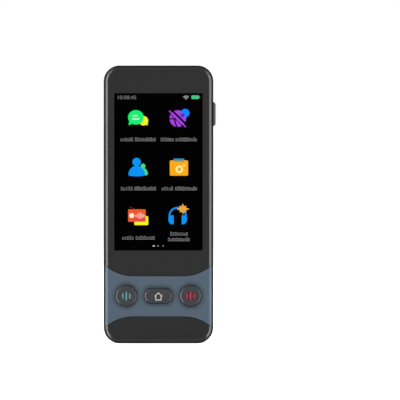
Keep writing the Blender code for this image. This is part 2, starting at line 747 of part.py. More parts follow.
def key_shapes():
    """Middle, length and width of each front key."""
    talk_size = 2 * TALK_KEY_RADIUS
    return {
        "left_talk": (-TALK_KEY_OFFSET, talk_size, talk_size),
        "home": (0, HOME_KEY_LENGTH, HOME_KEY_WIDTH),
        "right_talk": (TALK_KEY_OFFSET, talk_size, talk_size),
    }


def build_front_keys():
    """The three front keys, each with its cap, its click switch and the switch's plunger."""
    flange = KEY_HOLE_GAP + KEY_FLANGE_GRIP
    for name, (x, length, width) in key_shapes().items():
        stations = [
            (KEY_CAP_FRONT, -KEY_EDGE_CHAMFER),
            (KEY_CAP_FRONT + KEY_EDGE_CHAMFER, 0),
            (KEY_FLANGE_FRONT, 0),
            (KEY_FLANGE_FRONT, flange),
            (KEY_CAP_BACK, flange),
        ]
        rings = [
            at_depth(stadium(x, KEY_ROW_HEIGHT, length, width, grow), depth) for depth, grow in stations
        ]
        cap = loft(name + "_button", rings, "key_plastic")
        half = SWITCH_SIZE / 2
        base = box(
            name + "_switch_base", (x - half, x + half), (SWITCH_FRONT, SWITCH_BACK),
            (KEY_ROW_HEIGHT - half, KEY_ROW_HEIGHT + half), "black_plastic",
        )
        cut(base, rod(
            name + "_switch_well", x, KEY_ROW_HEIGHT, PLUNGER_RADIUS + PLUNGER_HOLE_GAP,
            SWITCH_FRONT - OVERRUN, SWITCH_FRONT + SWITCH_WELL_DEPTH,
        ))
        plunger = rod(
            name + "_switch_plunger", x, KEY_ROW_HEIGHT, PLUNGER_RADIUS,
            KEY_CAP_BACK + SEAT_GAP, SWITCH_FRONT + PLUNGER_SEAT_DEPTH, "white_plastic",
        )
        carry_on_axis(name + "_axis", Vector((x, KEY_CAP_FRONT, KEY_ROW_HEIGHT)), [cap, plunger])


def side_outline(y_half, z_half):
    """A rectangle in y and z round the side key's middle."""
    return rectangle(
        SIDE_KEY_DEPTH - y_half, SIDE_KEY_DEPTH + y_half,
        SIDE_KEY_HEIGHT - z_half, SIDE_KEY_HEIGHT + z_half,
    )


def build_side_key():
    """The side key with its retaining flange, its click switch and the switch's plunger."""
    y_half = SIDE_KEY_WIDTH / 2
    z_half = SIDE_KEY_LENGTH / 2
    outer = HALF_WIDTH + SIDE_KEY_PROUD
    grip = SIDE_KEY_HOLE_GAP + SIDE_FLANGE_GRIP
    stations = [
        (SIDE_FLANGE_INNER, y_half, z_half + grip),
        (SIDE_FLANGE_OUTER, y_half, z_half + grip),
        (SIDE_FLANGE_OUTER, y_half, z_half),
        (outer - SIDE_KEY_END_CHAMFER, y_half, z_half),
        (outer, y_half - LIP_CHAMFER, z_half - SIDE_KEY_END_CHAMFER),
    ]
    rings = [at_side(side_outline(y, z), x) for x, y, z in stations]
    cap = loft("power_button", rings, "key_plastic")
    base = box(
        "power_switch_base",
        (SIDE_SWITCH_OUTER - SIDE_SWITCH_DEPTH, SIDE_SWITCH_OUTER),
        (SIDE_KEY_DEPTH - y_half, SIDE_KEY_DEPTH + y_half),
        (SIDE_SWITCH_LOW, SIDE_SWITCH_LOW + SIDE_SWITCH_LENGTH),
        "black_plastic",
    )
    middle = (SIDE_KEY_DEPTH, SIDE_KEY_HEIGHT)
    well = circle(*middle, SIDE_PLUNGER_RADIUS + PLUNGER_HOLE_GAP, SMALL_ROUND_STEPS)
    well_floor = at_side(well, SIDE_SWITCH_OUTER - SWITCH_WELL_DEPTH)
    well_mouth = at_side(well, SIDE_SWITCH_OUTER + OVERRUN)
    cut(base, loft("power_switch_well", [well_floor, well_mouth]))
    pin = circle(*middle, SIDE_PLUNGER_RADIUS, SMALL_ROUND_STEPS)
    pin_ends = [
        at_side(pin, SIDE_SWITCH_OUTER - PLUNGER_SEAT_DEPTH), at_side(pin, SIDE_PLUNGER_OUTER),
    ]
    plunger = loft("power_switch_plunger", pin_ends, "white_plastic")
    carry_on_axis("power_axis", Vector((outer, SIDE_KEY_DEPTH, SIDE_KEY_HEIGHT)), [cap, plunger])


def screen_span():
    """The screen module's outline limits: left, right, low and high."""
    half = HALF_WIDTH - DISPLAY_SIDE_MARGIN + LCD_BORDER
    return -half, half, SCREEN_LOW, BODY_LENGTH - DISPLAY_TOP_MARGIN + LCD_BORDER


def build_screen():
    """The screen, its light, the plate behind it and its ribbon to the key board."""
    outline = rectangle(*screen_span(), LCD_CORNER)
    prism("lcd_panel", outline, LCD_FRONT, LCD_BACK, "screen")
    prism("backlight_unit", outline, BACKLIGHT_FRONT, BACKLIGHT_BACK, "white_plastic")
    plate_outline = rectangle(
        PLATE_INSET - HALF_WIDTH, HALF_WIDTH - PLATE_INSET, PLATE_LOW, BODY_LENGTH - PLATE_INSET,
        0, CORNER_RADIUS - PLATE_INSET,
    )
    plate = prism("chassis_plate", plate_outline, PLATE_FRONT, PLATE_BACK, "steel")
    holes = [
        screw_hole("plate_hole", x, z, PLATE_FRONT - OVERRUN, PLATE_BACK + OVERRUN)
        for x, z in main_screw_places()
    ]
    cut(plate, join_meshes("plate_holes", holes))
    top = SCREEN_LOW - SEAT_GAP
    board_side = KEY_BOARD_FRONT - SEAT_GAP
    screen_side = (LCD_FRONT + LCD_BACK) / 2
    path = [
        (top, screen_side),
        ((top + PLATE_LOW) / 2, screen_side),
        (PLATE_LOW, board_side),
        (KEY_BOARD_TOP - DISPLAY_FLEX_LAP, board_side),
    ]
    half = DISPLAY_FLEX_WIDTH / 2
    ribbon("display_flex", path, (-half, half), "flex")


def ribbon(name, path, x_span, finish):
    """A flat ribbon along x-wide steps through the given heights and depths, depths at its back."""
    left, right = x_span
    rings = []
    for z, y in path:
        rings.append([
            (left, y - RIBBON_THICKNESS, z), (right, y - RIBBON_THICKNESS, z), (right, y, z), (left, y, z),
        ])
    return loft(name, rings, finish)


def build_boards():
    """The two circuit boards with their screws and what they carry."""
    key_outline = rectangle(
        PLATE_INSET - HALF_WIDTH, HALF_WIDTH - PLATE_INSET, PLATE_INSET, KEY_BOARD_TOP,
        CORNER_RADIUS - PLATE_INSET, 0,
    )
    key_board = prism("key_board", key_outline, KEY_BOARD_FRONT, PLATE_BACK, "board")
    notch_half = USB_WIDTH / 2 + SEAT_GAP
    cut(key_board, box(
        "usb_notch", (-notch_half, notch_half), (KEY_BOARD_FRONT - OVERRUN, PLATE_BACK + OVERRUN),
        (0, USB_RECESS + USB_LENGTH + SEAT_GAP),
    ))
    main_outline = rectangle(
        -MAIN_BOARD_SIDE, MAIN_BOARD_SIDE, MAIN_BOARD_LOW, MAIN_BOARD_TOP,
        0, CORNER_RADIUS - MAIN_BOARD_INSET,
    )
    main_board = prism("main_board", main_outline, RIB_FRONT, MAIN_BOARD_BACK, "board")
    key_holes = [
        screw_hole("key_board_hole", x, z, KEY_BOARD_FRONT - OVERRUN, PLATE_BACK + OVERRUN)
        for x, z in key_screw_places()
    ]
    main_holes = [
        screw_hole("main_board_hole", x, z, RIB_FRONT - OVERRUN, MAIN_BOARD_BACK + OVERRUN)
        for x, z in main_screw_places()
    ]
    cut(key_board, join_meshes("key_board_holes", key_holes))
    cut(main_board, join_meshes("main_board_holes", main_holes))
    boss_end = RIB_FRONT + BOSS_HEIGHT - BOSS_FLOOR - SEAT_GAP
    for number, (x, z) in enumerate(key_screw_places(), 1):
        screw(f"key_board_screw_{number}", x, z, KEY_BOARD_FRONT - SEAT_GAP, -1, boss_end)
    for number, (x, z) in enumerate(main_screw_places(), 1):
        screw(f"main_board_screw_{number}", x, z, MAIN_BOARD_BACK + SEAT_GAP, 1, PLATE_FRONT)
    build_main_board_components()
    build_links()


def screw(name, x, z, seat, head_sign, tip):
    """A pan-head screw along y, whose head stands off its seat on the given side."""
    top = seat + head_sign * SCREW_HEAD_HEIGHT
    stations = [
        (top, SCREW_HEAD_RADIUS - LIP_CHAMFER),
        (top - head_sign * LIP_CHAMFER, SCREW_HEAD_RADIUS),
        (seat, SCREW_HEAD_RADIUS),
        (seat, SCREW_SHANK_RADIUS),
        (tip, SCREW_SHANK_RADIUS),
    ]
    rings = [at_depth(circle(x, z, radius, SMALL_ROUND_STEPS), depth) for depth, radius in stations]
    return loft(name, rings, "steel")


def build_main_board_components():
    """The shield can over its chip and the radio module, on the back of the main board."""
    seat = MAIN_BOARD_BACK + SEAT_GAP
    can_left = SHIELD_CAN_LEFT_MARGIN - MAIN_BOARD_SIDE
    can_low = MAIN_BOARD_LOW + SHIELD_CAN_FOOT_MARGIN
    can_right = can_left + SHIELD_CAN_WIDTH
    can_high = CAMERA_HEIGHT - CAMERA_MODULE_SIZE / 2 - SHIELD_CAN_CAMERA_GAP
    can_top = seat + SHIELD_CAN_HEIGHT
    can = box("shield_can", (can_left, can_right), (seat, can_top), (can_low, can_high), "steel")
    cut(can, box(
        "shield_can_hollow",
        (can_left + SHIELD_CAN_WALL, can_right - SHIELD_CAN_WALL),
        (seat - OVERRUN, can_top - SHIELD_CAN_WALL),
        (can_low + SHIELD_CAN_WALL, can_high - SHIELD_CAN_WALL),
    ))
    chip_x = (can_left + can_right - CHIP_WIDTH) / 2
    chip_end = SHIELD_CAN_WALL + CHIP_END_GAP
    box(
        "processor_chip", (chip_x, chip_x + CHIP_WIDTH), (seat, seat + CHIP_HEIGHT),
        (can_low + chip_end, can_high - chip_end), "black_plastic",
    )
    radio_left = RADIO_LEFT_MARGIN - MAIN_BOARD_SIDE
    radio_high = MAIN_BOARD_TOP - RADIO_TOP_MARGIN
    radio_right = -CAMERA_MODULE_SIZE / 2 - RADIO_CAMERA_GAP
    box(
        "radio_module", (radio_left, radio_right), (seat, seat + RADIO_HEIGHT),
        (radio_high - RADIO_LENGTH, radio_high), "steel",
    )


def build_links():
    """The connectors and the ribbon that joins the two boards beside the battery."""
    link_right = MAIN_BOARD_SIDE
    link_span = (link_right - LINK_FLEX_WIDTH, link_right)
    low_back = RIB_FRONT + CONNECTOR_HEIGHT
    low_high = KEY_BOARD_TOP - LINK_CONNECTOR_MARGIN
    low_low = low_high - LINK_LENGTH
    box("lower_link_connector", link_span, (RIB_FRONT, low_back), (low_low, low_high), "black_plastic")
    seat = MAIN_BOARD_BACK + SEAT_GAP
    high_high = LINK_LOW + LINK_LENGTH
    box(
        "upper_link_connector", link_span, (seat, seat + CONNECTOR_HEIGHT), (LINK_LOW, high_high),
        "black_plastic",
    )
    low_depth = low_back + SEAT_GAP + RIBBON_THICKNESS
    run_depth = RIB_FRONT + RIBBON_THICKNESS
    high_depth = seat + CONNECTOR_HEIGHT + SEAT_GAP + RIBBON_THICKNESS
    path = [
        (low_low, low_depth),
        (low_high + SEAT_GAP, low_depth),
        (low_high + SEAT_GAP + LINK_FLEX_SLOPE, run_depth),
        (MAIN_BOARD_LOW - SEAT_GAP - 2 * LINK_FLEX_SLOPE, run_depth),
        (MAIN_BOARD_LOW - SEAT_GAP, high_depth),
        (high_high, high_depth),
    ]
    ribbon("board_link_flex", path, link_span, "flex")


def build_battery():
    """The battery between the boards, with its lead and connector."""
    half = HALF_WIDTH - FRAME_WALL - BATTERY_SIDE_CHANNEL
    low = KEY_BOARD_TOP + BATTERY_END_GAP
    high = MAIN_BOARD_LOW - BATTERY_END_GAP
    back = COVER_INNER - BATTERY_SWELL_GAP
    edge = BATTERY_CORNER
    outline = rectangle(-half, half, low, high, edge)
    small = rectangle(edge - half, half - edge, low + edge, high - edge, edge / 2)
    rings = [
        at_depth(small, RIB_FRONT), at_depth(outline, RIB_FRONT + edge),
        at_depth(outline, back - edge), at_depth(small, back),
    ]
    loft("battery_cell", rings, "battery_wrap")
    x_half = BATTERY_LEAD_WIDTH / 2
    span = (BATTERY_CONNECTOR_OFFSET - x_half, BATTERY_CONNECTOR_OFFSET + x_half)
    seat = MAIN_BOARD_BACK + SEAT_GAP
    connector_back = seat + BATTERY_CONNECTOR_HEIGHT
    connector_high = LINK_LOW + BATTERY_CONNECTOR_LENGTH
    box("battery_connector", span, (seat, connector_back), (LINK_LOW, connector_high), "white_plastic")
    lead_depth = connector_back + SEAT_GAP + RIBBON_THICKNESS
    ribbon("battery_lead", [(high + SEAT_GAP, lead_depth), (connector_high, lead_depth)], span, "flex")


def build_camera():
    """The camera bump: bezel, window, barrel, lens and the sensor block on the main board."""
    bezel_stations = [
        (BEZEL_FRONT, -BEZEL_CHAMFER),
        (BEZEL_FRONT - BEZEL_CHAMFER, 0),
        (BEZEL_FLANGE_FRONT, 0),
        (BEZEL_FLANGE_FRONT, BEZEL_FLANGE_REACH),
        (BEZEL_BACK, BEZEL_FLANGE_REACH),
    ]
    rings = [at_depth(bump_outline(grow), depth) for depth, grow in bezel_stations]
    bezel = loft("camera_bezel", rings, "frame_metal")
    cut(bezel, prism("window_recess", bump_outline(-BEZEL_RIM), BEZEL_FLOOR, BEZEL_FRONT + OVERRUN))
    barrel_hole = BARREL_RADIUS + SEAT_GAP
    cut(bezel, rod(
        "barrel_hole", 0, CAMERA_HEIGHT, barrel_hole, BEZEL_BACK - OVERRUN, BEZEL_FLOOR + OVERRUN,
        steps=ROUND_STEPS,
    ))
    prism("camera_window", bump_outline(-BEZEL_RIM - SEAM), WINDOW_BACK, WINDOW_FRONT, "lens_glass")

    barrel_low = BARREL_TOP - BARREL_LENGTH
    barrel = rod(
        "camera_lens_barrel", 0, CAMERA_HEIGHT, BARREL_RADIUS, barrel_low, BARREL_TOP, "black_plastic",
        steps=ROUND_STEPS,
    )
    cut(barrel, rod(
        "barrel_bore", 0, CAMERA_HEIGHT, LENS_RADIUS + SEAT_GAP, barrel_low - OVERRUN, BARREL_TOP + OVERRUN,
        steps=ROUND_STEPS,
    ))
    lens_front = BARREL_TOP - LENS_RECESS
    crown_share = 0.6
    lens_stations = [
        (lens_front - LENS_THICKNESS, LENS_RADIUS),
        (lens_front - LENS_CROWN, LENS_RADIUS),
        (lens_front - LENS_CROWN / 3, LENS_RADIUS * crown_share),
        (lens_front, LENS_RADIUS * crown_share / 3),
    ]
    lens_rings = [at_depth(circle(0, CAMERA_HEIGHT, radius), depth) for depth, radius in lens_stations]
    loft("camera_lens", lens_rings, "lens_glass")

    half = CAMERA_MODULE_SIZE / 2
    module = box(
        "camera_module", (-half, half), (MAIN_BOARD_BACK + SEAT_GAP, CAMERA_MODULE_TOP),
        (CAMERA_HEIGHT - half, CAMERA_HEIGHT + half), "black_plastic",
    )
    cut(module, rod(
        "module_bore", 0, CAMERA_HEIGHT, barrel_hole, barrel_low - SEAT_GAP, CAMERA_MODULE_TOP + OVERRUN,
        steps=ROUND_STEPS,
    ))


def speaker_outline(inset):
    """The speaker's outline, drawn in by the inset."""
    x_half = SPEAKER_X_HALF - inset
    z_half = SPEAKER_Z_HALF - inset
    radius = max(SPEAKER_CORNER - inset, LEAST_RADIUS)
    return rectangle(-x_half, x_half, SPEAKER_HEIGHT - z_half, SPEAKER_HEIGHT + z_half, radius)


def build_speaker():
    """The speaker behind the grille: its tray, its cone and the gasket round the grille."""
    tray = prism("speaker_frame", speaker_outline(0), RIB_FRONT, SPEAKER_BACK, "black_plastic")
    cone_back = SPEAKER_BACK - CONE_RECESS
    hollow_floor = RIB_FRONT + SPEAKER_FLOOR
    cut(tray, prism("speaker_hollow", speaker_outline(SPEAKER_WALL), hollow_floor, SPEAKER_BACK + OVERRUN))
    edge = SPEAKER_WALL + SEAT_GAP
    step = CONE_INSET_SHARE * min(SPEAKER_X_HALF, SPEAKER_Z_HALF)
    cone_stations = [
        (hollow_floor + SEAT_GAP, edge + step),
        (cone_back - CONE_THICKNESS, edge),
        (cone_back, edge),
        (cone_back, edge + step),
        (cone_back + CONE_CROWN, edge + 2 * step),
    ]
    rings = [at_depth(speaker_outline(inset), depth) for depth, inset in cone_stations]
    loft("speaker_cone", rings, "foam")
    gasket_front = SPEAKER_BACK + SEAT_GAP
    gasket = prism("speaker_gasket", speaker_outline(0), gasket_front, GASKET_BACK, "foam")
    cut(gasket, prism(
        "gasket_hole", speaker_outline(SPEAKER_WALL), gasket_front - OVERRUN, GASKET_BACK + OVERRUN,
    ))


def build_socket():
    """The USB-C socket: a rounded metal shell with its tongue."""
    low = USB_RECESS
    high = USB_RECESS + USB_LENGTH
    outer = usb_outline(0)
    shell = loft("usb_shell", [at_height(outer, low), at_height(outer, high)], "steel")
    inner = usb_outline(-USB_WALL)
    cut(shell, loft("usb_hollow", [at_height(inner, low - OVERRUN), at_height(inner, high - USB_FLOOR)]))
    block = usb_outline(-USB_WALL - TONGUE_GAP)
    block_top = high - USB_FLOOR - TONGUE_GAP
    tongue = loft(
        "usb_tongue", [at_height(block, block_top - TONGUE_BLOCK_LENGTH), at_height(block, block_top)],
        "black_plastic",
    )
    x_half = TONGUE_WIDTH / 2
    y_half = TONGUE_THICKNESS / 2
    unite(tongue, box(
        "tongue_blade", (-x_half, x_half), (USB_DEPTH - y_half, USB_DEPTH + y_half),
        (low + TONGUE_RECESS, block_top - TONGUE_BLOCK_LENGTH / 2),
    ))


def build_sound_and_radio():
    """The two microphones behind their holes, and the antenna inside the top wall."""
    half = MICROPHONE_WIDTH / 2
    foot_low = RIB_INSET + SEAT_GAP
    box(
        "bottom_microphone", (FOOT_MICROPHONE_X - half, FOOT_MICROPHONE_X + half),
        (RIB_FRONT, RIB_FRONT + MICROPHONE_HEIGHT), (foot_low, foot_low + MICROPHONE_LENGTH), "steel",
    )
    seat = MAIN_BOARD_BACK + SEAT_GAP
    high = MAIN_BOARD_TOP - SEAT_GAP
    box(
        "top_microphone", (TOP_MICROPHONE_X - half, TOP_MICROPHONE_X + half),
        (seat, seat + MICROPHONE_HEIGHT), (high - MICROPHONE_LENGTH, high), "steel",
    )
    antenna_high = BODY_LENGTH - FRAME_WALL - SEAT_GAP
    antenna_left = ANTENNA_SIDE_MARGIN - HALF_WIDTH
    antenna_right = -SNAP_LENGTH / 2 - ANTENNA_TAB_GAP
    box(
        "wifi_antenna", (antenna_left, antenna_right), (seat, seat + ANTENNA_DEPTH),
        (antenna_high - ANTENNA_THICKNESS, antenna_high), "flex",
    )


def build_translator():
    """Build every piece of the device."""
    clear_scene()
    build_mid_frame()
    build_back_cover()
    build_front_panels()
    build_front_keys()
    build_side_key()
    build_screen()
    build_boards()
    build_battery()
    build_camera()
    build_speaker()
    build_socket()
    build_sound_and_radio()


build_translator()
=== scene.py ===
"""Handheld translator: its visible pieces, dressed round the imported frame.

The device stands upright on z = 0, with its front towards -Y, its width along X and its height along +Z.
Every size is in millimetres. Builder turns them to the scene's metres.
"""

import logging
import math
from collections.abc import Callable, Iterable, Sequence
from dataclasses import dataclass, field, replace
from enum import Enum
from typing import Any

import bmesh
import bpy
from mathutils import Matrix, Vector


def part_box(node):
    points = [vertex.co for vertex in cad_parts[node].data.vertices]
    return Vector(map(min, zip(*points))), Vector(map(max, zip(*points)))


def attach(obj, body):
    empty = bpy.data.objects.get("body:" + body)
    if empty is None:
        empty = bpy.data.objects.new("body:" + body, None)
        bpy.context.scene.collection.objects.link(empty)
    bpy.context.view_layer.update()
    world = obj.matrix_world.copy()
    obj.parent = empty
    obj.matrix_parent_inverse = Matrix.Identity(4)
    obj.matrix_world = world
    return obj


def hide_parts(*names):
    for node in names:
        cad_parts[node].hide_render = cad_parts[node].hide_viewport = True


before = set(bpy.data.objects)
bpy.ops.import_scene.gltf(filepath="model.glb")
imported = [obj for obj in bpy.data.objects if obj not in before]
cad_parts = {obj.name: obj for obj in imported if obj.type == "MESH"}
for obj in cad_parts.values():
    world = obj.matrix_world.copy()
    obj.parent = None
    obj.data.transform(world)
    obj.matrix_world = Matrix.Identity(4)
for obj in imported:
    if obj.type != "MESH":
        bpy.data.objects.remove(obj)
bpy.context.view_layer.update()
MM = 0.001
# How far a cutting shape runs past what it cuts.
OVERRUN = 0.5
# The front keys: the height of their middles, then how far the centres of their round ends lie from the
# device's middle, and the radius of those ends.
KEY_HEIGHT = 21.5
ROUND_KEY = (14.46, 4.62)
LONG_KEY = (2.82, 3.33)
KEY_NAMES = ("left_talk", "home", "right_talk")
SWITCHES = (*KEY_NAMES, "power")
LOG = logging.getLogger("translator")

Pair = tuple[float, float]
Triple = tuple[float, float, float]
Outline = list[Pair]
Ring = list[Triple]
Piece = bpy.types.Object
Tree = bpy.types.NodeTree
Wire = bpy.types.NodeSocket


def linear(code: str) -> tuple[float, float, float, float]:
    """Turn an sRGB hex colour to linear red, green, blue and an alpha of 1.

    Args:
        code: six hex digits after a hash sign.

    Returns:
        The linear colour that shader sockets take.
    """
    channels = [int(code[place:place + 2], 16) / 255 for place in (1, 3, 5)]
    red, green, blue = [c / 12.92 if c <= 0.04045 else ((c + 0.055) / 1.055) ** 2.4 for c in channels]
    return red, green, blue, 1.0


def add_node(tree: Tree, kind: str, settings: dict[str | int, Any] | None = None) -> bpy.types.Node:
    """Add a node with its settings, its sockets' values and its incoming links.

    Args:
        tree: the node tree that gets the node.
        kind: the node's type name.
        settings: socket names or places, or property names, with the value of each or the socket that feeds it.

    Returns:
        The new node.
    """
    node = tree.nodes.new(kind)
    for key, value in (settings or {}).items():
        if isinstance(value, Wire):
            tree.links.new(value, node.inputs[key])
        elif isinstance(key, int) or key in node.inputs:
            node.inputs[key].default_value = value
        else:
            setattr(node, key, value)
    return node


def maths(tree: Tree, operation: str, *terms: float | Wire) -> Wire:
    """Add a node that works on numbers or on the sockets that feed them, and give the socket of its result."""
    return add_node(tree, "ShaderNodeMath", {"operation": operation, **dict(enumerate(terms))}).outputs[0]


class Grain(Enum):
    """How a surface was made, which sets the pattern of its relief."""

    POLISHED = "polished"
    SPARKED = "sparked"
    BLASTED = "blasted"
    BRUSHED = "brushed"
    FOAMED = "foamed"
    ETCHED = "etched"
    WOVEN = "woven"


class Turn(Enum):
    """What turns a surface from its first colour to its second: a random cloud, or painted shade that follows
    the shape.
    """

    CLOUD = "cloud"
    # Painted shade along the long sides.
    SIDES = "sides"
    # Painted shade round the front keys.
    KEYS = "keys"


class Cut(Enum):
    """What a second shape does to a piece."""

    REMOVE = "DIFFERENCE"
    JOIN = "UNION"
    KEEP = "INTERSECT"


@dataclass(frozen=True)
class Finish:
    """One surface: its material, how it was made, and what that gives the eye.

    Lengths are in millimetres and colours are sRGB hex values.
    """

    name: str
    colour: str
    second: str = ""
    cloud: float = 9.0
    roughness: float = 0.5
    swing: float = 0.06
    metallic: float = 0.0
    ior: float = 1.5
    specular: float = 0.5
    coat: float = 0.0
    sheen: float = 0.0
    clear: float = 0.0
    glow: float = 0.0
    painted: bool = True
    turn: Turn = Turn.CLOUD
    span: Pair = (0.0, 1.0)
    grain: Grain = Grain.POLISHED
    pitch: float = 0.5
    relief: float = 0.0

    def pattern(self, tree: Tree, place: Wire) -> Wire:
        """Add the relief's pattern.

        Args:
            tree: the material's node tree.
            place: the socket that gives the point on the piece.

        Returns:
            The socket that gives the height of the relief, from 0 to 1.
        """
        scale = 1 / (self.pitch * MM)
        if self.grain is Grain.BRUSHED:
            stretched = add_node(tree, "ShaderNodeMapping", {"Scale": (1.0, 1.0, 0.03), "Vector": place})
            place = stretched.outputs[0]
        if self.grain in (Grain.SPARKED, Grain.FOAMED):
            mode = "SMOOTH_F1" if self.grain is Grain.SPARKED else "F1"
            cells = add_node(tree, "ShaderNodeTexVoronoi", {"feature": mode, "Scale": scale, "Vector": place})
            return cells.outputs[0]
        if self.grain is Grain.WOVEN:
            # A wave texture multiplies its scale by 20 on its own.
            bands = [add_node(tree, "ShaderNodeTexWave", {
                "bands_direction": way, "Scale": scale / 20, "Vector": place,
            }) for way in ("X", "Z")]
            return maths(tree, "MAXIMUM", *(band.outputs[1] for band in bands))
        return add_node(tree, "ShaderNodeTexNoise", {"Scale": scale, "Detail": 3.0, "Vector": place}).outputs[0]

    def key_gap(self, tree: Tree, split: bpy.types.Node) -> Wire:
        """Add the distance to the edge of the nearest front key, which places the painted shade round the keys.

        Args:
            tree: the material's node tree.
            split: the node that gives the point's coordinates.

        Returns:
            The socket that gives the distance.
        """
        across = maths(tree, "ABSOLUTE", split.outputs["X"])
        up = maths(tree, "SUBTRACT", split.outputs["Z"], KEY_HEIGHT * MM)
        gaps = []
        # Along the home key's straight stretch the distance is held at 0. The round keys' is left as it is.
        for (middle, radius), least in ((ROUND_KEY, -1.0), (LONG_KEY, 0.0)):
            held = maths(tree, "MAXIMUM", maths(tree, "SUBTRACT", across, middle * MM), least)
            point = add_node(tree, "ShaderNodeCombineXYZ", {0: held, 1: up})
            away = add_node(tree, "ShaderNodeVectorMath", {"operation": "LENGTH", 0: point.outputs[0]})
            gaps.append(maths(tree, "SUBTRACT", away.outputs["Value"], radius * MM))
        return maths(tree, "MINIMUM", *gaps)

    def share(self, tree: Tree, place: Wire) -> Wire:
        """Add the second colour's share where it follows the shape: painted shade at both long sides, or round
        the keys.

        Args:
            tree: the material's node tree.
            place: the socket that gives the point on the piece.

        Returns:
            The socket that gives the share.
        """
        start, end = self.span
        split = add_node(tree, "ShaderNodeSeparateXYZ", {0: place})
        if self.turn is Turn.KEYS:
            distance = self.key_gap(tree, split)
        else:
            distance = maths(tree, "ABSOLUTE", split.outputs["X"])
        return add_node(tree, "ShaderNodeMapRange", {
            "interpolation_type": "SMOOTHSTEP", "From Min": start * MM, "From Max": end * MM, "Value": distance,
        }).outputs[0]

    def build(self) -> bpy.types.Material:
        """Make the material once, and hand the same one out after that.

        Returns:
            A Principled material with its colour or colours, its gloss and its relief.
        """
        made = bpy.data.materials.get(self.name)
        if made:
            return made
        material = bpy.data.materials.new(self.name)
        material.use_nodes = True
        tree = material.node_tree
        shader = tree.nodes["Principled BSDF"]
        sockets = {
            "Base Color": linear(self.colour if self.painted else "#000000"), "Metallic": self.metallic,
            "Roughness": self.roughness, "IOR": self.ior, "Specular IOR Level": self.specular,
            "Coat Weight": self.coat, "Sheen Weight": self.sheen, "Transmission Weight": self.clear,
            "Emission Strength": self.glow,
        }
        for name, value in sockets.items():
            shader.inputs[name].default_value = value
        if self.glow:
            shader.inputs["Emission Color"].default_value = linear(self.colour)
        place = add_node(tree, "ShaderNodeTexCoord").outputs["Object"]
        cloud = add_node(tree, "ShaderNodeTexNoise", {
            "Scale": 1 / (self.cloud * MM), "Detail": 4.0, "Vector": place,
        })
        if self.swing:
            gloss = add_node(tree, "ShaderNodeMapRange", {
                "From Min": 0.3, "From Max": 0.7, "To Min": max(self.roughness - self.swing, 0.02),
                "To Max": self.roughness + self.swing, "Value": cloud.outputs[0],
            })
            tree.links.new(gloss.outputs[0], shader.inputs["Roughness"])
        if self.second:
            turn = cloud.outputs[0] if self.turn is Turn.CLOUD else self.share(tree, place)
            shade = add_node(tree, "ShaderNodeMix",
                             {"data_type": "RGBA", 6: linear(self.colour), 7: linear(self.second), 0: turn})
            tree.links.new(shade.outputs[2], shader.inputs["Base Color"])
            if self.glow:
                tree.links.new(shade.outputs[2], shader.inputs["Emission Color"])
        if self.relief:
            bump = add_node(tree, "ShaderNodeBump", {
                "Strength": 1.0, "Distance": self.relief * MM, "Height": self.pattern(tree, place),
            })
            tree.links.new(bump.outputs[0], shader.inputs["Normal"])
        return material


# The band's front lip, coloured near-black: painted shade on the band's metal, a near-black line round the
# panels.
LIP_PAINTED_SHADE = Finish("band_lip_painted_shade", "#0d0d0e", "#111112", roughness=0.36, swing=0.03, specular=0.3,
                   grain=Grain.BLASTED, pitch=0.5, relief=0.003)
# Dark anodised aluminium, machined and fine-blasted: it mirrors the lights softly and is dark between them.
ANODISED = Finish("anodised_aluminium_blasted", "#66676a", "#606164", roughness=0.24, swing=0.03, metallic=1.0,
                  grain=Grain.BLASTED, pitch=0.5, relief=0.004)
# The same aluminium anodised darker, for the camera's rim: its edge gleams, but less than the band.
RIM_ANODISED = replace(ANODISED, name="anodised_aluminium_blasted_dark", colour="#3d3e41", second="#393a3d")
# Black-printed glass, ground flat: an even dark face with a soft hint of reflection.
DARK_GLASS = Finish("black_printed_glass_ground", "#212121", "#1c1c1d", cloud=16, roughness=0.42, swing=0.04,
                    specular=0.35, grain=Grain.BLASTED, pitch=0.9, relief=0.0015)
# The same glass where its edge is ground and polished: it catches the strip lights.
GLASS_EDGE = Finish("black_glass_edge_polished", "#202021", roughness=0.17, swing=0.02)
# Painted polycarbonate, sprayed blue-grey and satin: fine orange peel and an even colour.
# Round each key its colour darkens softly: painted shade.
BLUE_PAINT_AND_KEY_SHADE = Finish("polycarbonate_blue_grey_painted_key_shade", "#425160", "#26323a", roughness=0.46, swing=0.04,
                    specular=0.4, turn=Turn.KEYS, span=(2.9, -0.5), grain=Grain.BLASTED, pitch=1.1,
                    relief=0.003)
# The same paint rubbed smooth along the bevel, where it shines a little more.
BLUE_EDGE = Finish("polycarbonate_sprayed_bevel", "#424f5e", roughness=0.3, swing=0.03, specular=0.4)
# ABS, moulded against a spark-eroded die: a fine even matt grain.
# Its long sides are coloured darker: painted shade where the back curves away.
COVER_ABS_AND_SIDE_SHADE = Finish("abs_spark_grain_painted_side_shade", "#201f21", "#0d0d0e", cloud=18, roughness=0.5, swing=0.05,
                   specular=0.08, turn=Turn.SIDES, span=(15.6, 18.6), grain=Grain.SPARKED, pitch=0.7,
                   relief=0.006)
# Key caps of polycarbonate under a soft-touch coat: dull tops with chamfers that shine where they're worn.
KEY_COAT = Finish("key_polycarbonate_soft_coat", "#303236", "#2c2e32", cloud=3, roughness=0.42, swing=0.05,
                  grain=Grain.BLASTED, pitch=0.5, relief=0.004)
KEY_EDGE = Finish("key_polycarbonate_lacquered_edge", "#34343a", roughness=0.2, swing=0.02, specular=0.33)
# Optically bonded display glass with an anti-reflection coat: black wherever no pixel is lit.
DISPLAY_GLASS = Finish("display_glass_ar_coated", "#000000", roughness=0.12, swing=0.02, specular=0.02)
# Black ink printed behind the camera glass.
CAMERA_GLASS = Finish("camera_glass_black_print", "#030304", "#050506", roughness=0.08, swing=0.02,
                      specular=0.07)
# Clear toughened glass over the lens, lightly coated.
CLEAR_GLASS = Finish("camera_glass_clear_coated", "#ffffff", roughness=0.02, swing=0.0, ior=1.1, specular=0.3,
                     clear=1.0)
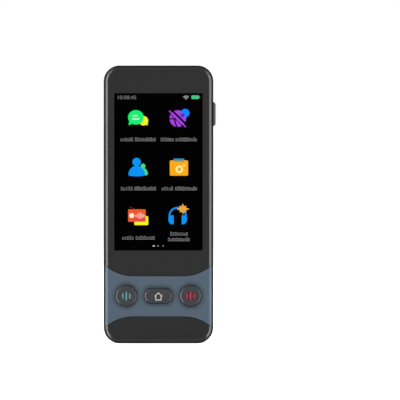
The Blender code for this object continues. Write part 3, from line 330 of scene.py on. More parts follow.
# Lens element with a magnesium fluoride coat: deep violet with a bright glint.
LENS_COAT = Finish("lens_glass_fluoride_coated", "#05040d", "#070a18", cloud=1.5, roughness=0.03, swing=0.01,
                   specular=0.1)
# Turned and blackened aluminium of the lens barrel: fine rings that kill reflections.
BARREL_BLACK = Finish("aluminium_turned_blackened", "#070708", roughness=0.5, specular=0.2, grain=Grain.BLASTED,
                      pitch=0.3, relief=0.006)
# Stainless steel sheet, rolled and brushed.
STEEL = Finish("stainless_steel_brushed", "#b9babb", "#adaeb0", roughness=0.3, metallic=1.0,
               grain=Grain.BRUSHED, pitch=0.25, relief=0.004)
# Nickel-plated screws, cold-headed.
SCREW_NICKEL = Finish("screw_steel_nickel_plated", "#a9a8a4", roughness=0.25, metallic=1.0, grain=Grain.BLASTED,
                      pitch=0.3, relief=0.004)
# Gold flashed over nickel on contacts.
GOLD = Finish("contact_nickel_gold_flashed", "#d8b25a", "#cfa64c", roughness=0.28, metallic=1.0)
# Fibreglass board under green solder mask, printed and cured: glossy, with the tracks as low ridges.
SOLDER_MASK = Finish("fibreglass_green_solder_mask", "#14512c", "#0f4224", cloud=2.2, roughness=0.34, coat=0.3,
                     grain=Grain.ETCHED, pitch=0.8, relief=0.03)
# Glass-filled nylon, moulded black.
NYLON = Finish("nylon_glass_filled_moulded", "#1d1d1e", "#232324", roughness=0.55, grain=Grain.SPARKED,
               pitch=0.4, relief=0.01)
# White liquid-crystal polymer, moulded.
WHITE_LCP = Finish("lcp_white_moulded", "#d9d8d2", "#cfcec8", roughness=0.45, grain=Grain.SPARKED, pitch=0.4,
                   relief=0.006)
# Epoxy chip package, transfer-moulded.
CHIP_EPOXY = Finish("epoxy_chip_moulded", "#19191a", "#1f1f20", roughness=0.6, grain=Grain.SPARKED, pitch=0.25,
                    relief=0.006)
# Polyimide ribbon, laminated: amber, with a silky gloss.
POLYIMIDE = Finish("polyimide_ribbon_laminated", "#9a5a1c", "#8a4f18", roughness=0.35, coat=0.3,
                   grain=Grain.BRUSHED, pitch=0.5, relief=0.004)
# Aluminium-laminate pouch of the battery, heat-sealed: satin, with shallow creases.
POUCH = Finish("aluminium_laminate_pouch_sealed", "#9b9ea3", "#8d9096", cloud=14, roughness=0.38, metallic=0.7,
               grain=Grain.BLASTED, pitch=6.0, relief=0.06)
# Closed-cell polyurethane foam, die-cut.
FOAM = Finish("polyurethane_foam_die_cut", "#1b1b1c", "#222223", roughness=0.95, sheen=0.2, grain=Grain.FOAMED,
              pitch=0.5, relief=0.08)
# Speaker cone of coated paper, pressed.
CONE_PAPER = Finish("speaker_cone_paper_pressed", "#202022", "#28282a", roughness=0.7, grain=Grain.BLASTED,
                    pitch=0.6, relief=0.02)
# Acoustic cloth behind the sound holes, woven from fine black polyester.
SOUND_CLOTH = Finish("polyester_acoustic_cloth_woven", "#161617", "#1d1d1e", roughness=0.9, sheen=0.3,
                     grain=Grain.WOVEN, pitch=0.4, relief=0.05)
# Backdrop paper, calendered matt: an even pale ground without a gleam.
BACKDROP = Finish("backdrop_paper_matt", "#e4e4e4", "#e6e6e6", cloud=900, roughness=0.9, specular=0.0, glow=0.9)


def lit(name: str, colour: str) -> Finish:
    """Lit pixels or a lit legend in one colour, with no gloss of their own."""
    return Finish("lit_" + name, colour, roughness=0.5, swing=0.0, specular=0.0, glow=1.0, painted=False)


def arc(u: float, v: float, radius: float, start: float, sweep: float, steps: int) -> Outline:
    """Points along an arc round a middle, both ends included, with its angles in degrees."""
    angles = [math.radians(start + sweep * step / steps) for step in range(steps + 1)]
    return [(u + radius * math.cos(angle), v + radius * math.sin(angle)) for angle in angles]


def circle(u: float, v: float, radius: float, steps: int = 48) -> Outline:
    """Points round a circle."""
    return arc(u, v, radius, 0, 360, steps)[:-1]


def rounded(left: float, right: float, low: float, high: float, low_radius: float = 0.0,
            high_radius: float | None = None, steps: int = 10) -> Outline:
    """Outline of a rectangle with round corners, anticlockwise from its lower right corner.

    Args:
        left: least first coordinate.
        right: greatest first coordinate.
        low: least second coordinate.
        high: greatest second coordinate.
        low_radius: radius of the two lower corners.
        high_radius: radius of the two upper corners, if it differs.
        steps: stretches in each corner.

    Returns:
        The outline's points.
    """
    high_radius = low_radius if high_radius is None else high_radius
    points: Outline = []
    for u, v, way, start, radius in (
        (right, low, (-1, 1), -90, low_radius), (right, high, (-1, -1), 0, high_radius),
        (left, high, (1, -1), 90, high_radius), (left, low, (1, 1), 180, low_radius),
    ):
        if radius > 0:
            points += arc(u + way[0] * radius, v + way[1] * radius, radius, start, 90, steps)
        else:
            points.append((u, v))
    return points


def stadium(u: float, v: float, length: float, width: float, grow: float = 0.0, steps: int = 32) -> Outline:
    """Outline of a stadium that lies along the first axis, or of a circle where both sizes are equal.

    Args:
        u: its middle, first coordinate.
        v: its middle, second coordinate.
        length: its whole length.
        width: its width.
        grow: how much it is made larger all round.
        steps: stretches in each round end.

    Returns:
        The outline's points.
    """
    straight = (length - width) / 2
    right = arc(u + straight, v, width / 2 + grow, -90, 180, steps)
    left = arc(u - straight, v, width / 2 + grow, 90, 180, steps)
    return right + left if straight > 0 else right[:-1] + left[:-1]


def at_depth(outline: Outline, depth: float) -> Ring:
    """Lift an x and z outline to points at one depth."""
    return [(x, depth, z) for x, z in outline]


def at_side(outline: Outline, side: float) -> Ring:
    """Lift a y and z outline to points at one place along x."""
    return [(side, y, z) for y, z in outline]


def at_height(outline: Outline, height: float) -> Ring:
    """Lift an x and y outline to points at one height."""
    return [(x, y, height) for x, y in outline]


def turn_outwards(mesh: bpy.types.Mesh) -> None:
    """Merge the mesh's doubles and point every closed body's faces out.

    Args:
        mesh: the mesh, which changes in place.
    """
    shell = bmesh.new()
    shell.from_mesh(mesh)
    bmesh.ops.remove_doubles(shell, verts=shell.verts, dist=1e-8)
    bmesh.ops.recalc_face_normals(shell, faces=shell.faces)
    shell.to_mesh(mesh)
    shell.free()


class Builder:
    """Collects closed bodies, in millimetres, and turns them into one object in metres."""

    def __init__(self) -> None:
        """Start with nothing."""
        self.points: list[Triple] = []
        self.faces: list[list[int]] = []
        self.marks: list[int] = []

    def loft(self, rings: Sequence[Ring], closed: bool = False, mark: int = 0) -> "Builder":
        """Join rings of equally many points, capped at the ends or closed on themselves.

        Args:
            rings: the rings in order.
            closed: whether the last ring joins the first.
            mark: place of the body's material among the piece's materials.

        Returns:
            This builder, for chaining.
        """
        count, base = len(rings[0]), len(self.points)
        self.points += [point for ring in rings for point in ring]
        faces = []
        pairs = [(ring, ring + 1) for ring in range(len(rings) - 1)]
        if closed:
            pairs.append((len(rings) - 1, 0))
        else:
            faces += [list(range(count)), list(range((len(rings) - 1) * count, len(rings) * count))]
        for first, second in pairs:
            for one in range(count):
                two = (one + 1) % count
                near, far = first * count, second * count
                faces.append([near + one, near + two, far + two, far + one])
        self.faces += [[base + index for index in face] for face in faces]
        self.marks += [mark] * len(faces)
        return self

    def stack(self, shape: Callable[[float], Outline], stations: Iterable[Pair],
              closed: bool = False) -> "Builder":
        """Join the x and z outlines that a shape gives for the size at each depth."""
        return self.loft([at_depth(shape(size), depth) for depth, size in stations], closed)

    def prism(self, outline: Outline, front: float, back: float, mark: int = 0) -> "Builder":
        """Add an x and z outline, extruded between two depths."""
        return self.loft([at_depth(outline, front), at_depth(outline, back)], mark=mark)

    def block(self, x: Pair, y: Pair, z: Pair) -> "Builder":
        """Add a rectangular block, given its span along each axis."""
        return self.prism(rounded(*sorted(x), *sorted(z)), *y)

    def finish(self, name: str) -> Piece:
        """Make the object, with every body's faces pointing out.

        Args:
            name: the object's name.

        Returns:
            The object, linked to the scene.
        """
        mesh = bpy.data.meshes.new(name)
        mesh.from_pydata([tuple(c * MM for c in point) for point in self.points], [], self.faces)
        mesh.polygons.foreach_set("material_index", self.marks)
        turn_outwards(mesh)
        return add_object(name, mesh)


def add_object(name: str, data: bpy.types.ID | None) -> Piece:
    """Put an object with the given data into the scene.

    Args:
        name: the object's name.
        data: its mesh, curve, lamp or camera.

    Returns:
        The new object.
    """
    thing = bpy.data.objects.new(name, data)
    bpy.context.scene.collection.objects.link(thing)
    return thing


def evaluated_mesh(thing: Piece) -> bpy.types.Mesh:
    """The plain mesh that an object's modifiers or curve give."""
    graph = bpy.context.evaluated_depsgraph_get()
    return bpy.data.meshes.new_from_object(thing.evaluated_get(graph), depsgraph=graph)


def settle(piece: Piece) -> None:
    """Turn the piece's live modifiers into its plain mesh.

    Args:
        piece: the piece that changes.
    """
    mesh = evaluated_mesh(piece)
    piece.modifiers.clear()
    piece.data = mesh


def carve(piece: Piece, tool: Builder | Piece, cut: Cut = Cut.REMOVE) -> None:
    """Cut a shape out of a piece, join it on, or keep only what both share.

    Args:
        piece: the piece that changes.
        tool: the other shape, which is used up.
        cut: what the other shape does.
    """
    guide = tool.finish("guide") if isinstance(tool, Builder) else tool
    modifier = piece.modifiers.new("shape", "BOOLEAN")
    modifier.operation, modifier.solver, modifier.object = cut.value, "EXACT", guide
    settle(piece)
    bpy.data.objects.remove(guide, do_unlink=True)


def soften(piece: Piece, width: float, segments: int, angle: float = 50.0) -> None:
    """Break the piece's sharp edges.

    Args:
        piece: the piece that changes.
        width: width of the broken edge.
        segments: stretches across it.
        angle: least angle of an edge that is broken, in degrees.
    """
    modifier = piece.modifiers.new("edges", "BEVEL")
    modifier.width, modifier.segments, modifier.limit_method = width * MM, segments, "ANGLE"
    modifier.angle_limit = math.radians(angle)
    settle(piece)


def smooth(piece: Piece, angle: float = 30.0) -> None:
    """Shade the piece smooth, apart from its sharp edges, and keep its flats flat.

    Args:
        piece: the piece that changes.
        angle: least angle of an edge that stays sharp, in degrees.
    """
    piece.data.shade_smooth()
    piece.data.set_sharp_from_angle(angle=math.radians(angle))
    modifier = piece.modifiers.new("normals", "WEIGHTED_NORMAL")
    modifier.keep_sharp = True
    settle(piece)


def paint(piece: Piece, finishes: Sequence[Finish],
          choose: Callable[[bpy.types.MeshPolygon], int] | None = None) -> None:
    """Give a piece its materials.

    Args:
        piece: the piece.
        finishes: its finishes in order.
        choose: says which of them a face takes, if faces differ by their place or direction.
    """
    places = [choose(face) if choose else face.material_index for face in piece.data.polygons]
    piece.data.materials.clear()
    for finish in finishes:
        piece.data.materials.append(finish.build())
    piece.data.polygons.foreach_set("material_index", places)


def hand_over(piece: Piece, body: str, stands_for: Iterable[str] = ()) -> None:
    """Tie a finished piece to its body and report it.

    Args:
        piece: the finished piece.
        body: the body that it rides on.
        stands_for: the frame's nodes that it replaces.
    """
    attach(piece, body)
    if stands_for:
        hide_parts(*stands_for)
    LOG.info("%s rides on %s with %d faces", piece.name, body, len(piece.data.polygons))


def complete(piece: Piece, finishes: Sequence[Finish], body: str,
             stands_for: Iterable[str] = (), angle: float = 30.0,
             choose: Callable[[bpy.types.MeshPolygon], int] | None = None) -> None:
    """Shade a shaped piece smooth, paint it and hand it over.

    Args:
        piece: the shaped piece.
        finishes: its finishes in order.
        body: the body that it rides on.
        stands_for: the frame's nodes that it replaces.
        angle: least angle of an edge that stays sharp, in degrees.
        choose: says which finish a face takes, if faces differ.
    """
    smooth(piece, angle)
    paint(piece, finishes, choose)
    hand_over(piece, body, stands_for)


class ShapeTree:
    """A Geometry Nodes tree that makes one kind of shape from named inputs."""

    name = "shape"
    sockets: tuple[tuple[str, str], ...] = ()

    def __init__(self) -> None:
        """Build the tree once."""
        self.tree = bpy.data.node_groups.get(self.name) or self.make()

    def grow(self, tree: Tree, given: bpy.types.bpy_prop_collection) -> Wire:
        """Add the nodes that make the shape, and give the socket of their result."""
        raise NotImplementedError

    def stand_up(self, tree: Tree, shape: Wire, place: Wire) -> Wire:
        """Turn a flat shape upright and move it.

        Args:
            tree: the tree that gets the node.
            shape: the socket of the shape, which lies in x and y.
            place: the socket of where it goes.

        Returns:
            The socket of the upright shape.
        """
        return add_node(tree, "GeometryNodeTransform", {
            "Rotation": (math.pi / 2, 0.0, 0.0), "Geometry": shape, "Translation": place,
        }).outputs[0]

    def make(self) -> Tree:
        """Build the tree, from its named inputs to one dressed mesh.

        Returns:
            The new node group.
        """
        tree = bpy.data.node_groups.new(self.name, "GeometryNodeTree")
        for label, kind in (("Start", "Geometry"), *self.sockets, ("Finish", "Material")):
            tree.interface.new_socket(label, in_out="INPUT", socket_type="NodeSocket" + kind)
        tree.interface.new_socket("Result", in_out="OUTPUT", socket_type="NodeSocketGeometry")
        given = add_node(tree, "NodeGroupInput").outputs
        solid = add_node(tree, "GeometryNodeRealizeInstances", {"Geometry": self.grow(tree, given)})
        dressed = add_node(tree, "GeometryNodeSetMaterial", {
            "Geometry": solid.outputs[0], "Material": given["Finish"],
        })
        add_node(tree, "NodeGroupOutput", {"Result": dressed.outputs[0]})
        return tree

    def run(self, piece: Piece, inputs: dict[str, Any]) -> None:
        """Run the tree on a piece and leave its plain result.

        Args:
            piece: the object whose mesh the tree starts from.
            inputs: value of each named input.
        """
        modifier = piece.modifiers.new("shape", "NODES")
        modifier.node_group = self.tree
        for item in self.tree.interface.items_tree:
            if item.in_out == "INPUT" and item.name in inputs:
                modifier[item.identifier] = inputs[item.name]
        settle(piece)


class RepeatTree(ShapeTree):
    """Sets a pattern piece at every point, each copy at its own size."""

    name = "repeat_on_points"
    sockets = (("Pattern", "Object"), ("Least size", "Vector"), ("Most size", "Vector"), ("Seed", "Int"))

    def grow(self, tree: Tree, given: bpy.types.bpy_prop_collection) -> Wire:
        """Add the copies.

        Args:
            tree: the tree that gets the nodes.
            given: the tree's inputs.

        Returns:
            The socket of the copies.
        """
        pattern = add_node(tree, "GeometryNodeObjectInfo", {"Object": given["Pattern"]})
        size = add_node(tree, "FunctionNodeRandomValue", {
            "data_type": "FLOAT_VECTOR", 0: given["Least size"], 1: given["Most size"], "Seed": given["Seed"],
        })
        return add_node(tree, "GeometryNodeInstanceOnPoints", {
            "Points": given["Start"], "Instance": pattern.outputs["Geometry"], "Scale": size.outputs[0],
        }).outputs[0]


class SweepTree(ShapeTree):
    """Carries a closed profile round an upright frame with round corners.

    The profile's x runs outwards from the frame's path and its y is the depth.
    """

    name = "profile_round_frame"
    sockets = (("Width", "Float"), ("Height", "Float"), ("Corner radius", "Float"), ("Corner steps", "Int"),
               ("Place", "Vector"))

    def grow(self, tree: Tree, given: bpy.types.bpy_prop_collection) -> Wire:
        """Add the path, the profile and the sweep.

        Args:
            tree: the tree that gets the nodes.
            given: the tree's inputs.

        Returns:
            The socket of the swept mesh.
        """
        sides = add_node(tree, "GeometryNodeCurvePrimitiveQuadrilateral", {
            "Width": given["Width"], "Height": given["Height"],
        })
        path = add_node(tree, "GeometryNodeFilletCurve", {
            "mode": "POLY", "Curve": sides.outputs[0], "Count": given["Corner steps"],
            "Radius": given["Corner radius"],
        })
        level = add_node(tree, "GeometryNodeSetCurveNormal", {"mode": "Z_UP", "Curve": path.outputs[0]})
        profile = add_node(tree, "GeometryNodeMeshToCurve", {0: given["Start"]})
        swept = add_node(tree, "GeometryNodeCurveToMesh", {
            "Curve": level.outputs[0], "Profile Curve": profile.outputs[0],
        })
        return self.stand_up(tree, swept.outputs[0], given["Place"])


class PerforationTree(ShapeTree):
    """Makes the rods of a diamond of round holes: a grid of points, thinned, with a rod at each."""

    name = "perforation_diamond"
    sockets = (("Columns", "Int"), ("Rows", "Int"), ("Pitch", "Float"), ("Reach", "Float"),
               ("Hole radius", "Float"), ("Depth", "Float"), ("Place", "Vector"))

    def grow(self, tree: Tree, given: bpy.types.bpy_prop_collection) -> Wire:
        """Add the grid, its thinning and the rods.

        Args:
            tree: the tree that gets the nodes.
            given: the tree's inputs.

        Returns:
            The socket of the rods.
        """
        spans = [maths(tree, "MULTIPLY", maths(tree, "SUBTRACT", given[count], 1.0), given["Pitch"])
                 for count in ("Columns", "Rows")]
        grid = add_node(tree, "GeometryNodeMeshGrid", {
            "Size X": spans[0], "Size Y": spans[1], "Vertices X": given["Columns"], "Vertices Y": given["Rows"],
        })
        here = add_node(tree, "GeometryNodeInputPosition")
        away = add_node(tree, "ShaderNodeVectorMath", {"operation": "ABSOLUTE", 0: here.outputs[0]})
        split = add_node(tree, "ShaderNodeSeparateXYZ", {0: away.outputs[0]})
        total = maths(tree, "ADD", split.outputs[0], split.outputs[1])
        outside = add_node(tree, "FunctionNodeCompare", {
            "operation": "GREATER_THAN", 0: total, 1: given["Reach"],
        })
        diamond = add_node(tree, "GeometryNodeDeleteGeometry", {
            "domain": "POINT", "Geometry": grid.outputs[0], "Selection": outside.outputs[0],
        })
        rod = add_node(tree, "GeometryNodeMeshCylinder", {
            "Vertices": 20, "Radius": given["Hole radius"], "Depth": given["Depth"],
        })
        rods = add_node(tree, "GeometryNodeInstanceOnPoints", {
            "Points": diamond.outputs[0], "Instance": rod.outputs["Mesh"],
        })
        return self.stand_up(tree, rods.outputs[0], given["Place"])


def repeat(name: str, places: Sequence[Triple], pattern: Piece, finish: Finish,
           least: Triple = (1.0, 1.0, 1.0), most: Triple = (1.0, 1.0, 1.0),
           seed: int = 1) -> Piece:
    """Set copies of a pattern piece at many places and join them into one piece.

    Args:
        name: the new piece's name.
        places: where each copy goes.
        pattern: the piece that is copied, made round the origin and used up.
        finish: the copies' finish.
        least: least size of a copy along each axis.
        most: greatest size of a copy along each axis.
        seed: seed of the sizes between.

    Returns:
        One plain mesh piece.
    """
    mesh = bpy.data.meshes.new(name)
    mesh.from_pydata([tuple(c * MM for c in place) for place in places], [], [])
    piece = add_object(name, mesh)
    RepeatTree().run(piece, {"Pattern": pattern, "Least size": least, "Most size": most, "Seed": seed,
                             "Finish": finish.build()})
    bpy.data.objects.remove(pattern, do_unlink=True)
    smooth(piece)
    return piece


def bounds_of(node: str) -> tuple[Vector, Vector]:
    """Lowest and highest corner of a frame node, in millimetres."""
    low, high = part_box(node)
    return low / MM, high / MM


@dataclass
class Envelope:
    """The outer form that the band, the panels and the cover share."""

    width: float = 49.4
    length: float = 125.2
    depth: float = 12.4
    corner: float = 7.1
    seam: float = 0.2
    gap: float = 0.3
    cover_inset: float = 1.6
    curve_width: float = 4.7
    curve_drop: float = 1.0
    least_radius: float = 0.2
    corner_steps: int = 20

    @property
    def half(self) -> float:
        """Half the width."""
        return self.width / 2

    @property
    def front(self) -> float:
        """Depth of the front face."""
        return -self.depth / 2

    @property
    def back(self) -> float:
        """Depth of the flat part of the back."""
        return self.depth / 2

    @property
    def curve_start(self) -> float:
        """Distance from the middle at which the back starts to curve away."""
        return self.half - self.cover_inset - self.curve_width

    def outline(self, inset: float) -> Outline:
        """The outer form in x and z, drawn in by the inset."""
        x, radius = self.half - inset, max(self.corner - inset, self.least_radius)
        return rounded(-x, x, inset, self.length - inset, radius, steps=self.corner_steps)

    def back_at(self, x: float) -> float:
        """Depth of the back: flat in the middle and curved away at the long sides.

        Args:
            x: place across the device.

        Returns:
            The depth there.
        """
        radius = (self.curve_width ** 2 + self.curve_drop ** 2) / (2 * self.curve_drop)
        beyond = max(abs(x) - self.curve_start, 0.0)
        return self.back - radius + math.sqrt(radius ** 2 - beyond ** 2)


FORM = Envelope()


@dataclass
class Band:
    """The metal band round the device, with its ledges, rib, bosses and openings."""

    lip_wall: float = 0.5
    lip_front: float = -5.3
    lip_chamfer: float = 0.2
    lip_end: float = -4.3
    panel_back: float = -4.9
    wall: float = 2.4
    rib_reach: float = 0.8
    rib: Pair = (-0.7, 0.1)
    ledge: float = 3.3
    shoulder: float = 1.4
    boss_radius: float = 1.7
    boss_back: float = 1.5
    boss_floor: float = 0.5
    shank_hole: float = 0.9
    boss_places: tuple[Pair, ...] = ((-19.6, 5.8), (19.6, 5.8), (-19.6, 24.0), (19.6, 24.0))
    side_slot_clearance: float = 0.2
    side_flange: float = 1.0
    usb_clearance: float = 0.25
    usb_corner: float = 1.4
    sound_hole: float = 0.5

    def ring(self) -> Piece:
        """The plain band: a closed profile carried round the outer form, cut down where the back curves away.

        Returns:
            The band without its bosses and openings.
        """
        seat = self.panel_back + FORM.gap
        inner = self.wall + self.rib_reach
        profile = [
            (0.0, self.lip_end), (0.0, self.lip_front + self.lip_chamfer),
            (self.lip_chamfer / 3, self.lip_front + self.lip_chamfer / 3),
            (self.lip_chamfer, self.lip_front), (self.lip_wall, self.lip_front), (self.lip_wall, seat),
            (self.wall, seat), (self.wall, self.rib[0]), (inner, self.rib[0]), (inner, self.rib[1]),
            (self.wall, self.rib[1]), (self.wall, self.ledge), (self.shoulder, self.ledge),
        ] + arc(self.shoulder, FORM.back - self.shoulder, self.shoulder, 90, 90, steps=8)
        mesh = bpy.data.meshes.new("band")
        mesh.from_pydata([(-inset * MM, depth * MM, 0.0) for inset, depth in profile],
                         [(place, (place + 1) % len(profile)) for place in range(len(profile))], [])
        band = add_object("band", mesh)
        SweepTree().run(band, {
            "Width": FORM.width * MM, "Height": FORM.length * MM, "Corner radius": FORM.corner * MM,
            "Corner steps": FORM.corner_steps, "Place": (0.0, 0.0, FORM.length / 2 * MM),
            "Finish": ANODISED.build(),
        })
        for vertex in band.data.vertices:
            vertex.co.y = min(vertex.co.y, FORM.back_at(vertex.co.x / MM) * MM)
        turn_outwards(band.data)
        return band

    def bosses(self) -> Builder:
        """The four screw bosses, each run out into the band's wall.

        Returns:
            The bosses' bodies.
        """
        solid = Builder()
        for x, z in self.boss_places:
            wall, width = math.copysign(FORM.half - self.wall + FORM.gap, x), 2 * self.boss_radius
            outline = stadium((x + wall) / 2, z, abs(wall - x) + width, width, steps=12)
            solid.prism(outline, self.rib[0], self.boss_back)
        return solid

    def openings(self) -> Builder:
        """The screw holes, the side key's slot, the socket's opening and the two sound holes.

        Returns:
            The bodies that cut them.
        """
        tool = Builder()
        for x, z in self.boss_places:
            hole = circle(x, z, self.shank_hole, steps=16)
            tool.prism(hole, self.rib[0] - OVERRUN, self.boss_back - self.boss_floor)
        low, high = bounds_of("power_button")
        slot, grip = self.side_slot_clearance, self.side_flange
        tool.block((FORM.half - self.wall - OVERRUN, FORM.half + OVERRUN), (low.y - slot, high.y + slot),
                   (low.z + grip - slot, high.z - grip + slot))
        low, high = bounds_of("usb_shell")
        extra = self.usb_clearance
        mouth = rounded(low.x - extra, high.x + extra, low.y - extra, high.y + extra, self.usb_corner + extra)
        depth = self.wall + self.rib_reach + OVERRUN
        tool.loft([at_height(mouth, -OVERRUN), at_height(mouth, depth)])
        for node, span in (("bottom_microphone", (-OVERRUN, depth)),
                           ("top_microphone", (FORM.length - self.wall - OVERRUN, FORM.length + OVERRUN))):
            low, high = bounds_of(node)
            hole = circle((low.x + high.x) / 2, (low.y + high.y) / 2, self.sound_hole, steps=20)
            tool.loft([at_height(hole, height) for height in span])
        return tool

    def build(self) -> None:
        """Make the band and hand it over."""
        band = self.ring()
        carve(band, self.bosses(), Cut.JOIN)
        carve(band, self.openings())
        # The lip's front faces take the painted shade.
        complete(band, [ANODISED, LIP_PAINTED_SHADE], "case", ["mid_frame"],
                 choose=lambda face: int(face.center.y < self.lip_end * MM))


@dataclass
class FrontPanels:
    """The dark glass, the blue-grey key band and the dark chin, divided by narrow seams."""

    inset: float = 0.7
    back: float = -4.9
    bevel_width: float = 1.4
    bevel_depth: float = 0.9
    break_width: float = 0.22
    break_depth: float = 0.2
    bright_width: float = 0.86
    bright_depth: float = 0.59
    band_low: float = 12.1
    band_high: float = 30.4
    band_flat: float = 11.3
    band_rise: float = 5.4
    edge_steps: int = 24
    edge_faces: Pair = (-0.98, -0.6)
    edge_break: float = 0.06
    key_gap: float = 0.3

    def plate(self, name: str) -> Piece:
        """The whole front with its bevelled edge.

        Args:
            name: the piece's name.

        Returns:
            The front, before it is cut into panels.
        """
        edge, depth = self.inset + self.break_width, FORM.front + self.bevel_depth
        return Builder().stack(FORM.outline, [
            (self.back, self.inset), (depth, self.inset), (depth - self.break_depth, edge),
            (depth - self.break_depth - self.bright_depth, edge + self.bright_width),
            (FORM.front, self.inset + self.bevel_width),
        ]).finish(name)

    def edge(self, height: float, rise: int, shift: float) -> Outline:
        """One long edge of the blue-grey band, left to right: flat in the middle, bowed at the ends.

        Args:
            height: height of the flat stretch.
            rise: 1 where the ends bow up, -1 where they bow down.
            shift: how far the whole edge is moved up.

        Returns:
            The edge's points in x and z.
        """
        run = FORM.half - self.band_flat
        radius = (run ** 2 + self.band_rise ** 2) / (2 * self.band_rise)
        bow = arc(self.band_flat, radius, radius, -90, math.degrees(math.asin(run / radius)), self.edge_steps)
        right = [(x, height + shift + rise * z) for x, z in bow]
        return [(-x, z) for x, z in reversed(right)] + right

    def regions(self) -> dict[str, tuple[Outline, list[Finish], str]]:
        """The three panels.

        Returns:
            Outline, finishes and slot of each, by the node that it stands for.
        """
        half_seam = FORM.seam / 2
        top, side = FORM.length, FORM.half
        glass = self.edge(self.band_high, 1, half_seam) + [(side, top), (-side, top)]
        band = self.edge(self.band_low, -1, half_seam) + self.edge(self.band_high, 1, -half_seam)[::-1]
        chin = [(-side, 0.0), (side, 0.0)] + self.edge(self.band_low, -1, -half_seam)[::-1]
        return {
            "cover_glass": (glass, [DARK_GLASS, GLASS_EDGE], "dark_panel"),
            "button_fascia": (band, [BLUE_PAINT_AND_KEY_SHADE, BLUE_EDGE], "blue_panel"),
            "chin_cover": (chin, [DARK_GLASS, GLASS_EDGE], "dark_panel"),
        }

    def build(self, display: "Display", keys: "FrontKeys") -> None:
        """Make the three panels.

        Args:
            display: the display, whose pane is let into the glass.
            keys: the front keys, which have holes in the band.
        """
        low, high = self.edge_faces
        for node, (outline, finishes, slot) in self.regions().items():
            panel = self.plate(node + "_panel")
            carve(panel, Builder().prism(outline, FORM.front - OVERRUN, self.back + OVERRUN), Cut.KEEP)
            if node == "cover_glass":
                carve(panel, Builder().prism(display.outline(), FORM.front - OVERRUN,
                                             FORM.front + display.pane_depth))
            if node == "button_fascia":
                holes = Builder()
                for x, length, width in keys.shapes():
                    holes.prism(stadium(x, KEY_HEIGHT, length, width, self.key_gap), FORM.front - OVERRUN,
                                self.back + OVERRUN)
                carve(panel, holes)
            soften(panel, self.edge_break, 1)
            complete(panel, finishes, "case", [node], angle=14,
                     choose=lambda face: int(low < face.normal.y < high))


@dataclass(frozen=True)
class Mark:
    """One flat shape of the display's picture, with its colour and how far up it lies."""

    outline: tuple[Pair, ...]
    colour: str
    layer: int = 0


def disc(u: float, v: float, radius: float, colour: str, layer: int = 0, squash: float = 1.0) -> Mark:
    """A round mark, or an oval one where it is squashed upright."""
    return Mark(tuple((x, v + (y - v) * squash) for x, y in circle(u, v, radius, steps=40)), colour, layer)


def card(left: float, top: float, right: float, foot: float, radius: float, colour: str,
         layer: int = 0) -> Mark:
    """A mark with four round corners."""
    return Mark(tuple(rounded(left, right, top, foot, radius, steps=6)), colour, layer)


def stroke(start: Pair, end: Pair, width: float, colour: str, layer: int = 0) -> Mark:
    """A straight line with square ends.

    Args:
        start: one end of the line.
        end: its other end.
        width: width of the line.
        colour: its colour.
        layer: how far up it lies.

    Returns:
        The line as a mark.
    """
    along = Vector(end) - Vector(start)
    across = Vector((-along.y, along.x)).normalized() * width / 2
    corners = [Vector(start) + across, Vector(start) - across, Vector(end) - across, Vector(end) + across]
    return Mark(tuple((corner.x, corner.y) for corner in corners), colour, layer)


def bow(u: float, v: float, radius: float, width: float, start: float, sweep: float, colour: str,
        layer: int = 0) -> Mark:
    """A part of a ring.

    Args:
        u: middle of the ring, first coordinate.
        v: middle of the ring, second coordinate.
        radius: radius of the ring's middle line.
        width: width of the ring.
        start: angle at which it starts, in degrees from the first axis towards the second.
        sweep: angle that it covers, in degrees.
        colour: its colour.
        layer: how far up it lies.

    Returns:
        The part of the ring as a mark.
    """
    outer = arc(u, v, radius + width / 2, start, sweep, steps=24)
    inner = arc(u, v, radius - width / 2, start, sweep, steps=24)
    return Mark(tuple(outer + inner[::-1]), colour, layer)


def raise_marks(name: str, marks: Sequence[Mark], place: Callable[[float, float], Pair],
                span: Callable[[int], Pair]) -> tuple[Piece, list[str]]:
    """Make flat marks one piece.

    Args:
        name: the piece's name.
        marks: its marks.
        place: turns a point of a mark to the device's x and z.
        span: front and back depth of a layer.

    Returns:
        The piece, and its colours in the order of its materials.
    """
    colours = sorted({mark.colour for mark in marks})
    solid = Builder()
    for mark in marks:
        solid.prism([place(u, v) for u, v in mark.outline], *span(mark.layer), colours.index(mark.colour))
    return solid.finish(name), colours


def dome(u: float, v: float, wide: float, tall: float, steps: int) -> Outline:
    """Points over the upper half of an oval, right to left. Negative half sizes turn it over."""
    turns = [step / steps * math.pi for step in range(steps + 1)]
    return [(u + wide * math.cos(turn), v - tall * math.sin(turn)) for turn in turns]


def ear_cup(middle: float, side: int) -> Mark:
    """One ear cup of a pair of headphones, rounded at its lower outer corner.

    Args:
        middle: middle of the headphones.
        side: -1 for the left cup and 1 for the right.

    Returns:
        The cup's mark.
    """
    top, shoulder, foot, bend = 54.9, 56.6, 58.9, 2.3
    inner, outer = middle + side * 1.8, middle + side * 4.2
    knee, brow = inner + side * 0.9, outer - side * 0.25
    turns = [step / 12 * math.pi for step in range(7)]
    corner = [(knee + (outer - knee) * math.sin(turn), shoulder + bend * math.cos(turn)) for turn in turns]
    return Mark(((inner, top), (inner, foot), *corner, (brow, top)), "sky", 1)


def burst(u: float, v: float, reaches: Sequence[float], colour: str, layer: int) -> Mark:
    """A star of uneven rays.

    Args:
        u: its middle, first coordinate.
        v: its middle, second coordinate.
        reaches: how far each point of its edge lies from the middle.
        colour: its colour.
        layer: how far up it lies.

    Returns:
        The star as a mark.
    """
    turns = [2 * math.pi * step / len(reaches) for step in range(len(reaches))]
    return Mark(tuple((u + reach * math.cos(turn), v + reach * math.sin(turn))
                      for reach, turn in zip(reaches, turns)), colour, layer)


